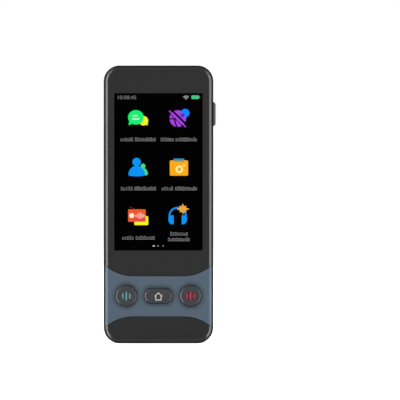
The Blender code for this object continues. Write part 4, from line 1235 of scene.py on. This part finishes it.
# What the display shows, piece by piece.
PICTURES: dict[str, tuple[Mark, ...]] = {
    # A wireless fan and a battery.
    "status_signs": (
        *(bow(32.2, 2.9, radius, 0.34, 225, 90, "grey") for radius in (0.45, 1.1, 1.72)),
        card(34.6, 0.9, 38.0, 2.55, 0.4, "cell"), card(38.05, 1.35, 38.4, 2.1, 0.15, "cell"),
        card(35.0, 1.3, 37.0, 2.2, 0.2, "leaf", 1),
    ),
    # Two speech bubbles, the larger with two lines.
    "talk_pictogram": (
        disc(13.1, 12.35, 2.1, "yellow"), Mark(((13.9, 13.6), (15.0, 12.9), (14.9, 14.6)), "yellow"),
        disc(9.65, 10.8, 3.55, "green", 1, 0.92), Mark(((6.6, 12.7), (8.4, 13.5), (6.35, 14.4)), "green", 1),
        card(7.95, 9.75, 10.4, 10.4, 0.3, "pale", 2), card(7.95, 11.15, 11.3, 11.85, 0.3, "pale", 2),
    ),
    # A globe with its lines, a bar across it and a dot beside it.
    "globe_pictogram": (
        disc(28.5, 11.35, 3.75, "purple"), stroke((24.5, 11.5), (27.8, 11.5), 0.55, "black", 1),
        bow(32.0, 12.0, 4.8, 0.6, 140, 45, "black", 1), bow(26.2, 13.6, 4.4, 0.6, -5, 42, "black", 1),
        stroke((25.7, 7.5), (32.5, 14.1), 0.85, "black", 2),
        stroke((24.6, 7.8), (32.1, 15.15), 0.55, "purple", 3),
        stroke((24.2, 8.4), (31.2, 15.26), 0.3, "black", 2),
        disc(31.85, 8.85, 1.9, "blue", 4), disc(30.7, 9.75, 0.95, "violet", 5),
    ),
    # Two plain figures, the larger in front.
    "people_pictogram": (
        disc(12.85, 32.75, 1.08, "mint"),
        Mark((*dome(12.9, 36.4, 2.15, 2.8, 16), (11.0, 36.9), (14.4, 36.9)), "mint"),
        disc(9.95, 30.9, 1.88, "sky", 1),
        Mark((*dome(10.0, 36.7, 3.75, 4.1, 16), *dome(10.0, 36.7, -3.75, -0.65, 8)[1:-1]), "sky", 1),
    ),
    # A plain camera with a ring and a dot.
    "camera_pictogram": (
        card(26.55, 29.35, 31.35, 31.0, 0.3, "teal"), card(24.9, 30.15, 33.15, 37.05, 0.6, "orange", 1),
        card(26.65, 30.15, 31.25, 30.8, 0.2, "khaki", 2), disc(29.2, 34.2, 1.7, "cream", 2),
        disc(29.2, 34.2, 0.85, "amber", 3), disc(31.3, 32.4, 0.48, "cream", 2),
    ),
    # Two cards, the front one with a disc and sound bars.
    "recorder_pictogram": (
        card(8.95, 55.3, 15.2, 59.3, 0.5, "yellow"), card(6.15, 52.2, 14.05, 57.8, 0.3, "scarlet", 1),
        card(8.6, 56.2, 13.8, 57.5, 0.4, "rose", 2), disc(7.75, 55.0, 1.1, "ivory", 2),
        stroke((6.7, 51.1), (9.5, 52.25), 0.2, "rust"),
        *(card(9.4 + 0.68 * place, 55.1 - reach, 9.76 + 0.68 * place, 55.1 + reach, 0.15, "pink", 3)
          for place, reach in enumerate((0.4, 0.75, 1.1, 1.5, 1.1, 0.75, 0.4))),
    ),
    # A pair of headphones with a small burst.
    "headphone_pictogram": (
        bow(28.45, 55.15, 3.7, 0.72, 180, 180, "sky"), ear_cup(28.45, -1), ear_cup(28.45, 1),
        burst(30.8, 52.05, (3.0, 1.5, 2.1, 1.4, 2.4, 1.4, 2.1, 1.5, 2.9, 1.5, 2.1, 1.4, 2.5, 1.4, 2.1, 1.5),
              "amber", 2),
    ),
    # The dash and two dots that say which page is shown.
    "page_marks": (
        card(17.15, 68.45, 18.2, 68.9, 0.2, "white"), disc(19.65, 68.68, 0.28, "grey"),
        disc(21.9, 68.68, 0.26, "grey"),
    ),
}


@dataclass
class Display:
    """The display's pane and the picture that it shows: a clock, two signs and six plain pictograms.

    A mark's coordinates run right and down from the pane's upper left corner.
    """

    left: float = -19.92
    right: float = 19.92
    foot: float = 41.86
    top: float = 112.7
    corner: float = 0.4
    pane_depth: float = 0.4
    pane_gap: float = 0.03
    pane_break: float = 0.03
    layer_step: float = 0.012
    shift: Pair = (0.13, 0.1)
    digits: str = "10:08:45"
    digit_size: float = 2.45
    digits_wide: float = 8.8
    digits_place: Pair = (1.1, 2.75)
    box_half: float = 0.34
    box_tall: float = 1.1
    box_line: Pair = (0.12, 0.13)
    box_sizes: tuple[Triple, ...] = ((0.75, 1.0, 0.9), (1.05, 1.0, 1.5))
    palette: dict[str, str] = field(default_factory=lambda: {
        "white": "#d4d6d4", "grey": "#a8a8a8", "green": "#16f070", "yellow": "#f6f428", "purple": "#a044dc",
        "blue": "#0a84ff", "sky": "#0c93f2", "mint": "#46d88a", "orange": "#fbab18", "cream": "#fff09a",
        "teal": "#2f8ec0", "scarlet": "#f05a2a", "pink": "#ffc8c0", "amber": "#e8a838", "black": "#000000",
        "cell": "#4cc68a", "violet": "#5a28c8", "leaf": "#40c878", "khaki": "#8f9a70",
        "pale": "#b4f6ca", "rose": "#e8484e", "ivory": "#fff2e4", "rust": "#7a3222", "dim": "#787878",
        "caption": "#969696",
    })

    def outline(self, grow: float = 0.0) -> Outline:
        """The pane's outline, made larger all round."""
        return rounded(self.left - grow, self.right + grow, self.foot - grow, self.top + grow,
                       self.corner + grow)

    def letter_places(self) -> list[Pair]:
        """Where the small boxes under each pictogram stand, in rows as long as a line of words.

        Returns:
            Each box's middle and foot.
        """
        words = (
            (2.59, 8.41, 6, 21.6), (9.04, 18.66, 11, 21.6), (20.69, 26.78, 7, 21.6), (27.41, 37.16, 11, 21.6),
            (2.73, 8.28, 5, 43.7), (8.82, 18.79, 11, 43.7), (21.09, 26.42, 5, 43.7), (27.14, 37.16, 11, 43.7),
            (3.22, 8.82, 5, 65.9), (9.45, 18.16, 9, 65.9), (25.02, 33.1, 8, 64.1), (23.98, 34.0, 11, 66.6),
        )
        return [(start + (end - start) * (letter + 0.5) / letters, foot)
                for start, end, letters, foot in words for letter in range(letters)]

    def captions(self) -> None:
        """The small empty boxes that stand for words."""
        places = [(self.left + self.shift[0] + u, FORM.front, self.top - v) for u, v in self.letter_places()]
        half, tall, (side, sill) = self.box_half, self.box_tall, self.box_line
        box = Builder().block((-half, half), (-self.layer_step, 0.0), (0.0, tall)).finish("caption_box")
        carve(box, Builder().block((side - half, half - side), (-OVERRUN, OVERRUN), (sill, tall - sill)))
        finish = lit("caption", self.palette["caption"])
        hand_over(repeat("caption_boxes", places, box, finish, *self.box_sizes, seed=4), "case")

    def show(self, name: str, marks: Sequence[Mark]) -> None:
        """Make one part of the picture and hand it over.

        Args:
            name: the piece's name.
            marks: its flat shapes.
        """
        left, top = self.left + self.shift[0], self.top - self.shift[1]
        piece, colours = raise_marks(name, marks, lambda u, v: (left + u, top - v),
                                     lambda layer: (FORM.front - self.layer_step * (layer + 1), FORM.front))
        paint(piece, [lit(colour, self.palette[colour]) for colour in colours])
        hand_over(piece, "case")

    def clock(self) -> None:
        """The clock's plain digits."""
        curve = bpy.data.curves.new("clock_digits", "FONT")
        curve.body, curve.size, curve.extrude = self.digits, self.digit_size * MM, self.layer_step * MM / 2
        digits = add_object("clock_digits", curve)
        mesh = evaluated_mesh(digits)
        bpy.data.objects.remove(digits, do_unlink=True)
        stretch = self.digits_wide * MM / max(vertex.co.x for vertex in mesh.vertices)
        right, down = self.digits_place
        left, foot = (self.left + right) * MM, (self.top - down) * MM
        middle = FORM.front * MM - self.layer_step * MM / 2
        for vertex in mesh.vertices:
            x, z, out = vertex.co
            vertex.co = (left + x * stretch, middle - out, foot + z)
        piece = add_object("clock_digits", mesh)
        turn_outwards(mesh)
        paint(piece, [lit("dim", self.palette["dim"])])
        hand_over(piece, "case")

    def build(self) -> None:
        """Make the pane and its picture."""
        pane = Builder().prism(self.outline(-self.pane_gap), FORM.front, FORM.front + self.pane_depth)
        pane = pane.finish("display_pane")
        soften(pane, self.pane_break, 1)
        complete(pane, [DISPLAY_GLASS], "case")
        self.clock()
        for name, marks in PICTURES.items():
            self.show(name, marks)
        self.captions()


@dataclass
class FrontKey:
    """One front key: its cap with a bright chamfer, and its lit legend."""

    name: str
    middle: float
    length: float
    width: float
    legend: tuple[Mark, ...]
    front: float = -6.5
    chamfer_in: float = 0.4
    chamfer_deep: float = 0.27
    edge_faces: Pair = (-0.95, -0.3)
    flange_front: float = -4.6
    flange_back: float = -3.9
    flange: float = 0.8
    dish: float = 0.06
    dish_steps: Triple = (1.6, 0.8, 0.1)
    legend_drop: float = 0.1
    legend_face: float = 0.015
    layer_step: float = 0.01

    def build(self) -> None:
        """Make the cap and its legend, and hand both over."""
        deep, shallow, level = (-self.chamfer_in - step for step in self.dish_steps)
        stations = [
            (self.front + self.dish, deep), (self.front + self.dish / 2, shallow),
            (self.front, level), (self.front, -self.chamfer_in),
            (self.front + self.chamfer_deep, 0.0), (self.flange_front, 0.0),
            (self.flange_front, self.flange), (self.flange_back, self.flange),
        ]
        cap = Builder().stack(lambda grow: stadium(self.middle, KEY_HEIGHT, self.length, self.width, grow),
                              stations).finish(self.name + "_cap")
        low, high = self.edge_faces
        complete(cap, [KEY_COAT, KEY_EDGE], self.name + "_key", [self.name + "_button"],
                 angle=25, choose=lambda face: int(low < face.normal.y < high))
        height = KEY_HEIGHT - self.legend_drop
        front, back = self.front + self.legend_face, self.front + 3 * self.dish
        piece, colours = raise_marks(self.name + "_legend", self.legend,
                                     lambda u, v: (self.middle + u, height + v),
                                     lambda layer: (front - self.layer_step * layer, back))
        paint(piece, [lit("legend_" + colour[1:], colour) for colour in colours])
        hand_over(piece, self.name + "_key")


@dataclass
class FrontKeys:
    """The three front keys, and the signs on them."""

    bar_pitch: float = 1.6
    bar_half: float = 0.36
    bar_reaches: Triple = (1.15, 1.95, 1.15)
    bar_corner: float = 0.3
    house_line: float = 0.4
    house_colour: str = "#c6c9c8"
    teal: tuple[str, str, str] = ("#659498", "#5c98a6", "#66948a")
    red: tuple[str, str, str] = ("#a04056", "#a24a5a", "#a04056")
    halo_colours: tuple[str, str] = ("#4a2d33", "#6e2834")
    halo_spread: Pair = (1.2, 1.4)

    def shapes(self) -> list[Triple]:
        """Middle, length and width of each key."""
        talk, home = 2 * ROUND_KEY[1], 2 * LONG_KEY[1]
        return [(-ROUND_KEY[0], talk, talk), (0.0, 2 * LONG_KEY[0] + home, home), (ROUND_KEY[0], talk, talk)]

    def bars(self, colours: tuple[str, str, str]) -> tuple[Mark, ...]:
        """Three upright bars, the middle one taller.

        Args:
            colours: colour of each bar.

        Returns:
            The bars' marks.
        """
        middles = (-self.bar_pitch, 0.0, self.bar_pitch)
        return tuple(
            card(middle - self.bar_half, -reach, middle + self.bar_half, reach, self.bar_corner, colour)
            for middle, reach, colour in zip(middles, self.bar_reaches, colours)
        )

    def house(self) -> tuple[Mark, ...]:
        """The outline of a house.

        Returns:
            Its two walls, its foot and its roof's two sides.
        """
        lines = (
            ((-1.18, 0.0), (-1.18, -2.0)), ((1.18, 0.0), (1.18, -2.0)), ((-1.38, -1.8), (1.38, -1.8)),
            ((-1.72, -0.2), (0.14, 1.53)), ((1.72, -0.2), (-0.14, 1.53)),
        )
        return tuple(stroke(start, end, self.house_line, self.house_colour) for start, end in lines)

    def halo(self) -> tuple[Mark, ...]:
        """The dim glow behind the bars of the right key, widest at mid height.

        Returns:
            The wider, darker mark and the narrower one on it.
        """
        upper = ((-2.2, 0.0), (-1.3, 1.0), (0.0, 1.5), (1.3, 1.0))
        points = upper + tuple((-u, -v) for u, v in upper)
        wide = tuple((self.halo_spread[0] * u, self.halo_spread[1] * v) for u, v in points)
        return Mark(wide, self.halo_colours[0], -2), Mark(points, self.halo_colours[1], -1)

    def build(self) -> None:
        """Make the three keys."""
        legends = (self.bars(self.teal), self.house(), self.halo() + self.bars(self.red))
        for name, legend, (middle, length, width) in zip(KEY_NAMES, legends, self.shapes()):
            FrontKey(name, middle, length, width, legend).build()


@dataclass
class SideKey:
    """The side key with its retaining flange and a crowned, chamfered end."""

    end_chamfer: float = 0.75
    edge: float = 0.42
    end: float = 0.7
    crown: Triple = (0.1, 0.08, 0.1)
    flange_back: float = 0.6
    grip: float = 1.0
    corner: float = 0.25

    def build(self) -> None:
        """Make the side key and hand it over."""
        low, high = bounds_of("power_button")
        middle_y, middle_z = (low.y + high.y) / 2, (low.z + high.z) / 2
        y_half, z_half = (high.y - low.y) / 2, (high.z - low.z) / 2 - self.grip
        stations = [
            (low.x, y_half, z_half + self.grip), (low.x + self.flange_back, y_half, z_half + self.grip),
            (low.x + self.flange_back, y_half, z_half), (high.x - self.end_chamfer, y_half, z_half),
            (high.x - self.crown[0], y_half - self.edge, z_half - self.end),
            (high.x, y_half - self.edge - self.crown[1], z_half - self.end - self.crown[2]),
        ]
        cap = Builder().loft([
            at_side(rounded(middle_y - y, middle_y + y, middle_z - z, middle_z + z, self.corner, steps=5), x)
            for x, y, z in stations
        ]).finish("power_cap")
        complete(cap, [KEY_COAT], "power_key", ["power_button"])


@dataclass
class BackCover:
    """The back cover: a panel that curves away at its long sides, with its rim, tabs, grille and opening."""

    seat: float = 3.6
    wall: float = 1.0
    rim: float = 1.8
    tab_reach: float = 1.8
    tab_wall: float = 1.0
    tab_length: float = 6.0
    plate_inset: float = 2.7
    barb: float = 0.5
    grille_height: float = 22.3
    pitch: float = 2.68
    hole: float = 0.7
    columns: int = 11
    rows: int = 7
    curve_steps: int = 20
    edge_break: float = 0.12
    side_tabs: tuple[float, ...] = (0.16, 0.43, 0.70)
    foot_tab: float = 12.0
    cloth_half: Pair = (14.3, 8.7)
    cloth_corner: float = 1.5
    cloth_gap: float = 0.08
    cloth_thickness: float = 0.2

    def back_block(self, drop: float) -> Builder:
        """A block whose back follows the curved back.

        Args:
            drop: how far inside the back it lies.

        Returns:
            The block's body.
        """
        right = []
        for step in range(self.curve_steps + 1):
            x = FORM.curve_start + (FORM.half - FORM.curve_start) * step / self.curve_steps
            right.append((x, FORM.back_at(x) - drop))
        front = self.seat - self.tab_reach - drop
        outline = [(-x, y) for x, y in reversed(right)] + right + [(FORM.half, front), (-FORM.half, front)]
        return Builder().loft([at_height(outline, -OVERRUN), at_height(outline, FORM.length + OVERRUN)])

    def tabs(self) -> Builder:
        """The snap tabs along the sides, top and foot, each with its barb.

        Returns:
            The tabs' bodies.
        """
        solid = Builder()
        back, front = self.seat + OVERRUN, self.seat - self.tab_reach
        places = [(side, 0, share * FORM.length) for share in self.side_tabs for side in (-1, 1)]
        places += [(0, 1, 0.0), (0, -1, -self.foot_tab), (0, -1, self.foot_tab)]
        tab = (self.plate_inset + self.tab_wall, self.plate_inset, back)
        barb = (self.plate_inset + self.tab_wall / 2, self.plate_inset - self.barb, front + self.barb)
        for side, end, middle in places:
            along = (middle - self.tab_length / 2, middle + self.tab_length / 2)
            for inner, outer, deep in (tab, barb):
                if side:
                    solid.block((side * (FORM.half - inner), side * (FORM.half - outer)), (front, deep), along)
                else:
                    wall = FORM.length if end > 0 else 0.0
                    solid.block(along, (front, deep), (wall - end * inner, wall - end * outer))
        return solid

    def grille(self) -> Piece:
        """The rods that cut the sound holes, in rows that widen towards the middle.

        Returns:
            The rods as one object.
        """
        rods = add_object("grille_rods", bpy.data.meshes.new("grille_rods"))
        PerforationTree().run(rods, {
            "Columns": self.columns, "Rows": self.rows, "Pitch": self.pitch * MM,
            "Reach": (self.columns // 2 + 0.5) * self.pitch * MM, "Hole radius": self.hole * MM,
            "Depth": 2 * (self.wall + OVERRUN) * MM, "Place": (0.0, FORM.back * MM, self.grille_height * MM),
            "Finish": COVER_ABS_AND_SIDE_SHADE.build(),
        })
        return rods

    def build(self, bump: Outline) -> None:
        """Make the cover and hand it over.

        Args:
            bump: outline of the camera bump's opening.
        """
        shell = Builder().prism(FORM.outline(FORM.cover_inset), self.seat, FORM.back + OVERRUN)
        cover = shell.finish("back_shell")
        carve(cover, self.back_block(0.0), Cut.KEEP)
        hollow = Builder().prism(FORM.outline(FORM.cover_inset + self.rim), self.seat - OVERRUN, FORM.back)
        space = hollow.finish("cover_space")
        carve(space, self.back_block(self.wall), Cut.KEEP)
        carve(cover, space)
        carve(cover, self.tabs(), Cut.JOIN)
        carve(cover, Builder().prism(bump, FORM.back - self.wall - OVERRUN, FORM.back + OVERRUN))
        carve(cover, self.grille())
        soften(cover, self.edge_break, 2)
        complete(cover, [COVER_ABS_AND_SIDE_SHADE], "case", ["back_cover"], angle=35)
        x, z = self.cloth_half
        outline = rounded(-x, x, self.grille_height - z, self.grille_height + z, self.cloth_corner)
        back = FORM.back - self.wall - self.cloth_gap
        cloth = Builder().prism(outline, back - self.cloth_thickness, back).finish("sound_cloth")
        paint(cloth, [SOUND_CLOTH])
        hand_over(cloth, "case")


@dataclass
class CameraBump:
    """The camera bump: its rim, the printed glass with its clear disc, the stepped barrel and the lens."""

    height: float = 111.4
    wide: float = 17.7
    high: float = 15.1
    corner: float = 2.6
    front: float = 7.0
    rim: float = 1.0
    chamfer_in: float = 0.45
    chamfer_deep: float = 0.3
    flare: float = 0.4
    flare_slope: float = 2.0
    flare_start: float = 0.05
    rim_break: float = 0.05
    flange_front: float = 4.9
    flange_back: float = 4.3
    flange: float = 0.8
    floor: float = 5.95
    window: Pair = (6.25, 6.85)
    glass_break: float = 0.08
    pane_radius: float = 2.5
    pane_gap: float = 0.03
    barrel: Pair = (1.75, 5.65)
    barrel_radius: float = 3.0
    barrel_chamfer: float = 0.25
    barrel_steps: tuple[Pair, ...] = ((2.75, 0.0), (2.7, 0.2), (2.45, 0.2), (2.4, 0.4))
    bore_drop: float = 0.45
    lens_radius: float = 1.8
    lens_drop: float = 0.2
    lens_bulge: float = 0.5
    lens_thickness: float = 1.0
    lens_slopes: range = range(4, 91, 6)

    def outline(self, grow: float) -> Outline:
        """The bump's outline, made larger or smaller all round."""
        x, z = self.wide / 2 + grow, self.high / 2 + grow
        return rounded(-x, x, self.height - z, self.height + z, self.corner + grow, steps=12)

    def round(self, radius: float) -> Outline:
        """A circle round the lens's axis."""
        return circle(0.0, self.height, radius, steps=64)

    def bezel(self) -> None:
        """The metal rim, whose mouth flares in front of the glass."""
        stations = [
            (self.front, -self.chamfer_in), (self.front - self.chamfer_deep, 0.0), (self.flange_front, 0.0),
            (self.flange_front, self.flange), (self.flange_back, self.flange),
        ]
        bezel = Builder().stack(self.outline, stations).finish("camera_rim")
        mouth = [
            (self.floor, -self.rim), (self.window[1] - self.flare_start, -self.rim),
            (self.front, self.flare - self.rim),
            (self.front + OVERRUN, self.flare + self.flare_slope * OVERRUN - self.rim),
        ]
        carve(bezel, Builder().stack(self.outline, mouth))
        carve(bezel, Builder().prism(self.round(self.barrel_radius + FORM.gap), self.flange_back - OVERRUN,
                                     self.floor + OVERRUN))
        soften(bezel, self.rim_break, 1)
        complete(bezel, [RIM_ANODISED], "case", ["camera_bezel"])

    def glass(self) -> None:
        """The printed glass, and the clear disc in front of the lens."""
        front, back = self.window
        glass = Builder().prism(self.outline(-self.rim - FORM.seam), front, back).finish("camera_glass")
        carve(glass, Builder().prism(self.round(self.pane_radius), front - OVERRUN, back + OVERRUN))
        soften(glass, self.glass_break, 2)
        complete(glass, [CAMERA_GLASS], "case", ["camera_window"])
        pane = Builder().prism(self.round(self.pane_radius - self.pane_gap), front, back).finish("camera_pane")
        complete(pane, [CLEAR_GLASS], "case")

    def optics(self) -> None:
        """The stepped barrel and the domed lens in it."""
        (low, top), bore = self.barrel, self.lens_radius + FORM.gap
        stations = [
            (low, bore), (low, self.barrel_radius), (top - self.barrel_chamfer, self.barrel_radius),
            (top, self.barrel_radius - self.barrel_chamfer),
        ]
        stations += [(top - drop, radius) for radius, drop in self.barrel_steps]
        stations.append((top - self.bore_drop, bore))
        barrel = Builder().stack(self.round, stations, closed=True).finish("lens_barrel")
        complete(barrel, [BARREL_BLACK], "case", ["camera_lens_barrel"])

        vertex = top - self.lens_drop
        slopes = [math.radians(degrees) for degrees in reversed(self.lens_slopes)]
        stations = [(vertex - self.lens_thickness, self.lens_radius)]
        stations += [(vertex - self.lens_bulge * (1 - math.cos(slope)), self.lens_radius * math.sin(slope))
                     for slope in slopes]
        lens = Builder().stack(self.round, stations).finish("lens_front")
        complete(lens, [LENS_COAT], "case", ["camera_lens"], angle=50)

    def build(self) -> None:
        """Make the bump's pieces and hand them over."""
        self.bezel()
        self.glass()
        self.optics()


@dataclass
class Socket:
    """The socket at the foot: its drawn shell, its tongue and two rows of contacts."""

    wall: float = 0.3
    corner: float = 1.4
    edge_break: float = 0.08
    contacts: int = 12
    contact_pitch: float = 0.5
    contact_height: float = 2.6
    contact_half: Triple = (0.13, 0.03, 1.4)
    blade_thickness: float = 0.7

    def build(self) -> None:
        """Make the shell and the contacts on its tongue."""
        low, high = bounds_of("usb_shell")
        middle = (low.y + high.y) / 2
        outer = rounded(low.x, high.x, low.y, high.y, self.corner)
        inner = rounded(low.x + self.wall, high.x - self.wall, low.y + self.wall, high.y - self.wall,
                        self.corner - self.wall)
        shell = Builder().loft([at_height(outer, low.z), at_height(outer, high.z)]).finish("socket_shell")
        carve(shell, Builder().loft([at_height(inner, low.z - OVERRUN), at_height(inner, high.z - self.wall)]))
        soften(shell, self.edge_break, 2)
        complete(shell, [STEEL], "case", ["usb_shell"])
        pad = Builder().block(*((-half, half) for half in self.contact_half)).finish("contact_pad")
        first = -self.contact_pitch * (self.contacts - 1) / 2
        reach = self.blade_thickness / 2
        places = [(first + self.contact_pitch * place, middle + side * reach, self.contact_height)
                  for place in range(self.contacts) for side in (-1, 1)]
        hand_over(repeat("socket_contacts", places, pad, GOLD), "case")


@dataclass
class Insides:
    """What lies behind the panels: the frame's own pieces with better finishes, screws and small parts."""

    finishes: tuple[tuple[Finish, tuple[str, ...]], ...] = (
        (STEEL, ("chassis_plate", "shield_can", "radio_module", "bottom_microphone", "top_microphone")),
        (DISPLAY_GLASS, ("lcd_panel",)),
        (WHITE_LCP, ("backlight_unit", "battery_connector", *(f"{key}_switch_plunger" for key in SWITCHES))),
        (POLYIMIDE, ("display_flex", "board_link_flex", "battery_lead", "wifi_antenna")),
        (NYLON, ("lower_link_connector", "upper_link_connector", "camera_module", "speaker_frame", "usb_tongue",
                 *(f"{key}_switch_base" for key in SWITCHES))),
        (SOLDER_MASK, ("key_board", "main_board")),
        (CHIP_EPOXY, ("processor_chip",)),
        (POUCH, ("battery_cell",)),
        (CONE_PAPER, ("speaker_cone",)),
        (FOAM, ("speaker_gasket",)),
    )
    head_height: float = 0.5
    head_rings: tuple[Pair, ...] = ((1.0, 0.75), (0.8, 0.98), (0.5, 1.1), (0.0, 1.1))
    shank_radius: float = 0.7
    tip: Pair = (0.3, 0.4)
    recess: float = 0.3
    slot_half: Pair = (0.6, 0.13)
    chip_half: Pair = (0.5, 0.25)
    chip_height: float = 0.4
    chip_start: Pair = (6.5, 97.5)
    chip_pitch: float = 1.5
    chip_columns: int = 6
    chip_rows: int = 5
    chip_sizes: tuple[Triple, ...] = ((0.7, 0.7, 0.8), (1.1, 1.5, 1.2))

    def screw(self, shank: float, head: int) -> Piece:
        """A pan-head screw along y round the origin, which is its seat.

        Args:
            shank: length of the shank.
            head: side of the head, 1 towards the back and -1 towards the front.

        Returns:
            The screw with its cross recess.
        """
        length, blunt = self.tip
        stations = [(head * self.head_height * share, radius) for share, radius in self.head_rings]
        stations += [(0.0, self.shank_radius), (-head * (shank - length), self.shank_radius),
                     (-head * shank, blunt)]
        piece = Builder().stack(lambda radius: circle(0.0, 0.0, radius, steps=24), stations).finish("screw")
        floor, mouth = sorted((head * (self.head_height - self.recess), head * (self.head_height + OVERRUN)))
        for x, z in (self.slot_half, self.slot_half[::-1]):
            carve(piece, Builder().block((-x, x), (floor, mouth), (-z, z)))
        return piece

    def screws(self) -> None:
        """The two sets of four screws."""
        for board, head in (("main_board", 1), ("key_board", -1)):
            nodes = [f"{board}_screw_{number}" for number in range(1, 5)]
            places = []
            for node in nodes:
                low, high = bounds_of(node)
                seat = high.y - self.head_height if head > 0 else low.y + self.head_height
                places.append(((low.x + high.x) / 2, seat, (low.z + high.z) / 2))
            low, high = bounds_of(nodes[0])
            screw = self.screw(high.y - low.y - self.head_height, head)
            hand_over(repeat(f"{board}_screws", places, screw, SCREW_NICKEL), "case", nodes)

    def small_parts(self) -> None:
        """Rows of chip resistors and capacitors on the main board."""
        back = bounds_of("main_board")[1].y
        x, z = self.chip_half
        part = Builder().block((-x, x), (0.0, self.chip_height), (-z, z)).finish("chip_part")
        right, up = self.chip_start
        places = [(right + self.chip_pitch * column, back, up + self.chip_pitch * row)
                  for column in range(self.chip_columns) for row in range(self.chip_rows)]
        parts = repeat("main_board_chips", places, part, WHITE_LCP, *self.chip_sizes, seed=7)
        hand_over(parts, "case")

    def build(self) -> None:
        """Dress the frame's inner pieces and add the screws and small parts."""
        for finish, names in self.finishes:
            for name in names:
                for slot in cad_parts[name].material_slots:
                    slot.material = finish.build()
                LOG.info("%s is finished as %s", name, finish.name)
        self.screws()
        self.small_parts()


@dataclass(frozen=True)
class Softboxes:
    """Two soft lights: their place round the device, their size and how bright the left and the right one is.

    The azimuth is the right one's, and the left one mirrors it.
    """

    name: str
    azimuth: float
    elevation: float
    size: Pair
    radiances: Pair


@dataclass
class Studio:
    """A pale floor, soft strip lights, an even pale room and the camera."""

    target: Triple = (0.0, 0.0, 62.6)
    focal: float = 150.0
    sensor: float = 36.0
    near: float = 0.01
    eye: Triple = (18.71, -756.4, 64.6)
    floor_reach: float = 30000.0
    floor_thickness: float = 20.0
    ambient: float = 0.45
    distance: float = 800.0
    pairs: tuple[Softboxes, ...] = (
        Softboxes("{side}_strip", 69, 0, (150, 1100), (9.0, 5.0)),
        Softboxes("upper_{side}_box", 62, 43, (240, 200), (3.2, 1.9)),
        Softboxes("lower_{side}_box", 62, -40, (240, 190), (6.6, 4.4)),
        Softboxes("back_{side}_strip", 106, 0, (330, 1240), (10.0, 10.0)),
        Softboxes("back_upper_{side}_box", 106, 50, (330, 360), (9.0, 9.0)),
        Softboxes("back_lower_{side}_box", 106, -50, (330, 360), (9.0, 9.0)),
    )

    def light(self, pair: Softboxes) -> None:
        """Set up two soft lights, turned towards the device.

        Args:
            pair: the left and the right light.
        """
        wide, tall = (side * MM for side in pair.size)
        elevation = math.radians(pair.elevation)
        for side, sign, radiance in zip(("left", "right"), (-1, 1), pair.radiances):
            name = pair.name.format(side=side)
            lamp = bpy.data.lights.new(name, "AREA")
            lamp.shape, lamp.size, lamp.size_y = "RECTANGLE", wide, tall
            lamp.energy = radiance * math.pi * wide * tall
            azimuth = math.radians(sign * pair.azimuth)
            way = Vector((math.sin(azimuth) * math.cos(elevation), -math.cos(azimuth) * math.cos(elevation),
                          math.sin(elevation)))
            stand = add_object(name, lamp)
            stand.location = Vector(self.target) * MM + way * self.distance * MM
            stand.rotation_euler = way.to_track_quat("Z", "Y").to_euler()
            stand.visible_camera = False

    def room(self) -> None:
        """The even pale room: softer as a light than as what the camera sees."""
        world = bpy.data.worlds.new("pale_room")
        bpy.context.scene.world = world
        world.use_nodes = True
        tree = world.node_tree
        tree.nodes.clear()
        ray = add_node(tree, "ShaderNodeLightPath")
        strength = add_node(tree, "ShaderNodeMapRange", {
            "To Min": self.ambient, "To Max": 1.0, "Value": ray.outputs["Is Camera Ray"],
        })
        sky = add_node(tree, "ShaderNodeBackground", {
            "Color": linear("#ffffff"), "Strength": strength.outputs[0],
        })
        add_node(tree, "ShaderNodeOutputWorld", {"Surface": sky.outputs[0]})

    def floor(self) -> None:
        """The pale floor that the device stands on."""
        reach = self.floor_reach
        slab = Builder().block((-reach, reach), (-reach, reach), (-self.floor_thickness, 0.0))
        floor = slab.finish("studio_floor")
        paint(floor, [BACKDROP])
        floor.visible_glossy = False

    def camera(self) -> None:
        """The camera, level and square to the device's front."""
        data = bpy.data.cameras.new("camera")
        data.lens, data.sensor_width, data.clip_start = self.focal, self.sensor, self.near
        camera = add_object("camera", data)
        camera.location = Vector(self.eye) * MM
        camera.rotation_euler = (math.pi / 2, 0.0, 0.0)
        bpy.context.scene.camera = camera

    def build(self) -> None:
        """Set up the whole studio."""
        self.camera()
        self.room()
        self.floor()
        for pair in self.pairs:
            self.light(pair)
        bpy.context.scene.view_settings.view_transform = "Standard"


def main() -> None:
    """Build the studio and every sub-assembly in order."""
    logging.basicConfig(level=logging.INFO, format="%(name)s: %(message)s")
    Studio().build()
    Band().build()
    display, keys, camera = Display(), FrontKeys(), CameraBump()
    FrontPanels().build(display, keys)
    display.build()
    keys.build()
    SideKey().build()
    BackCover().build(camera.outline(FORM.seam))
    camera.build()
    Socket().build()
    Insides().build()


if __name__ == "__main__":
    main()
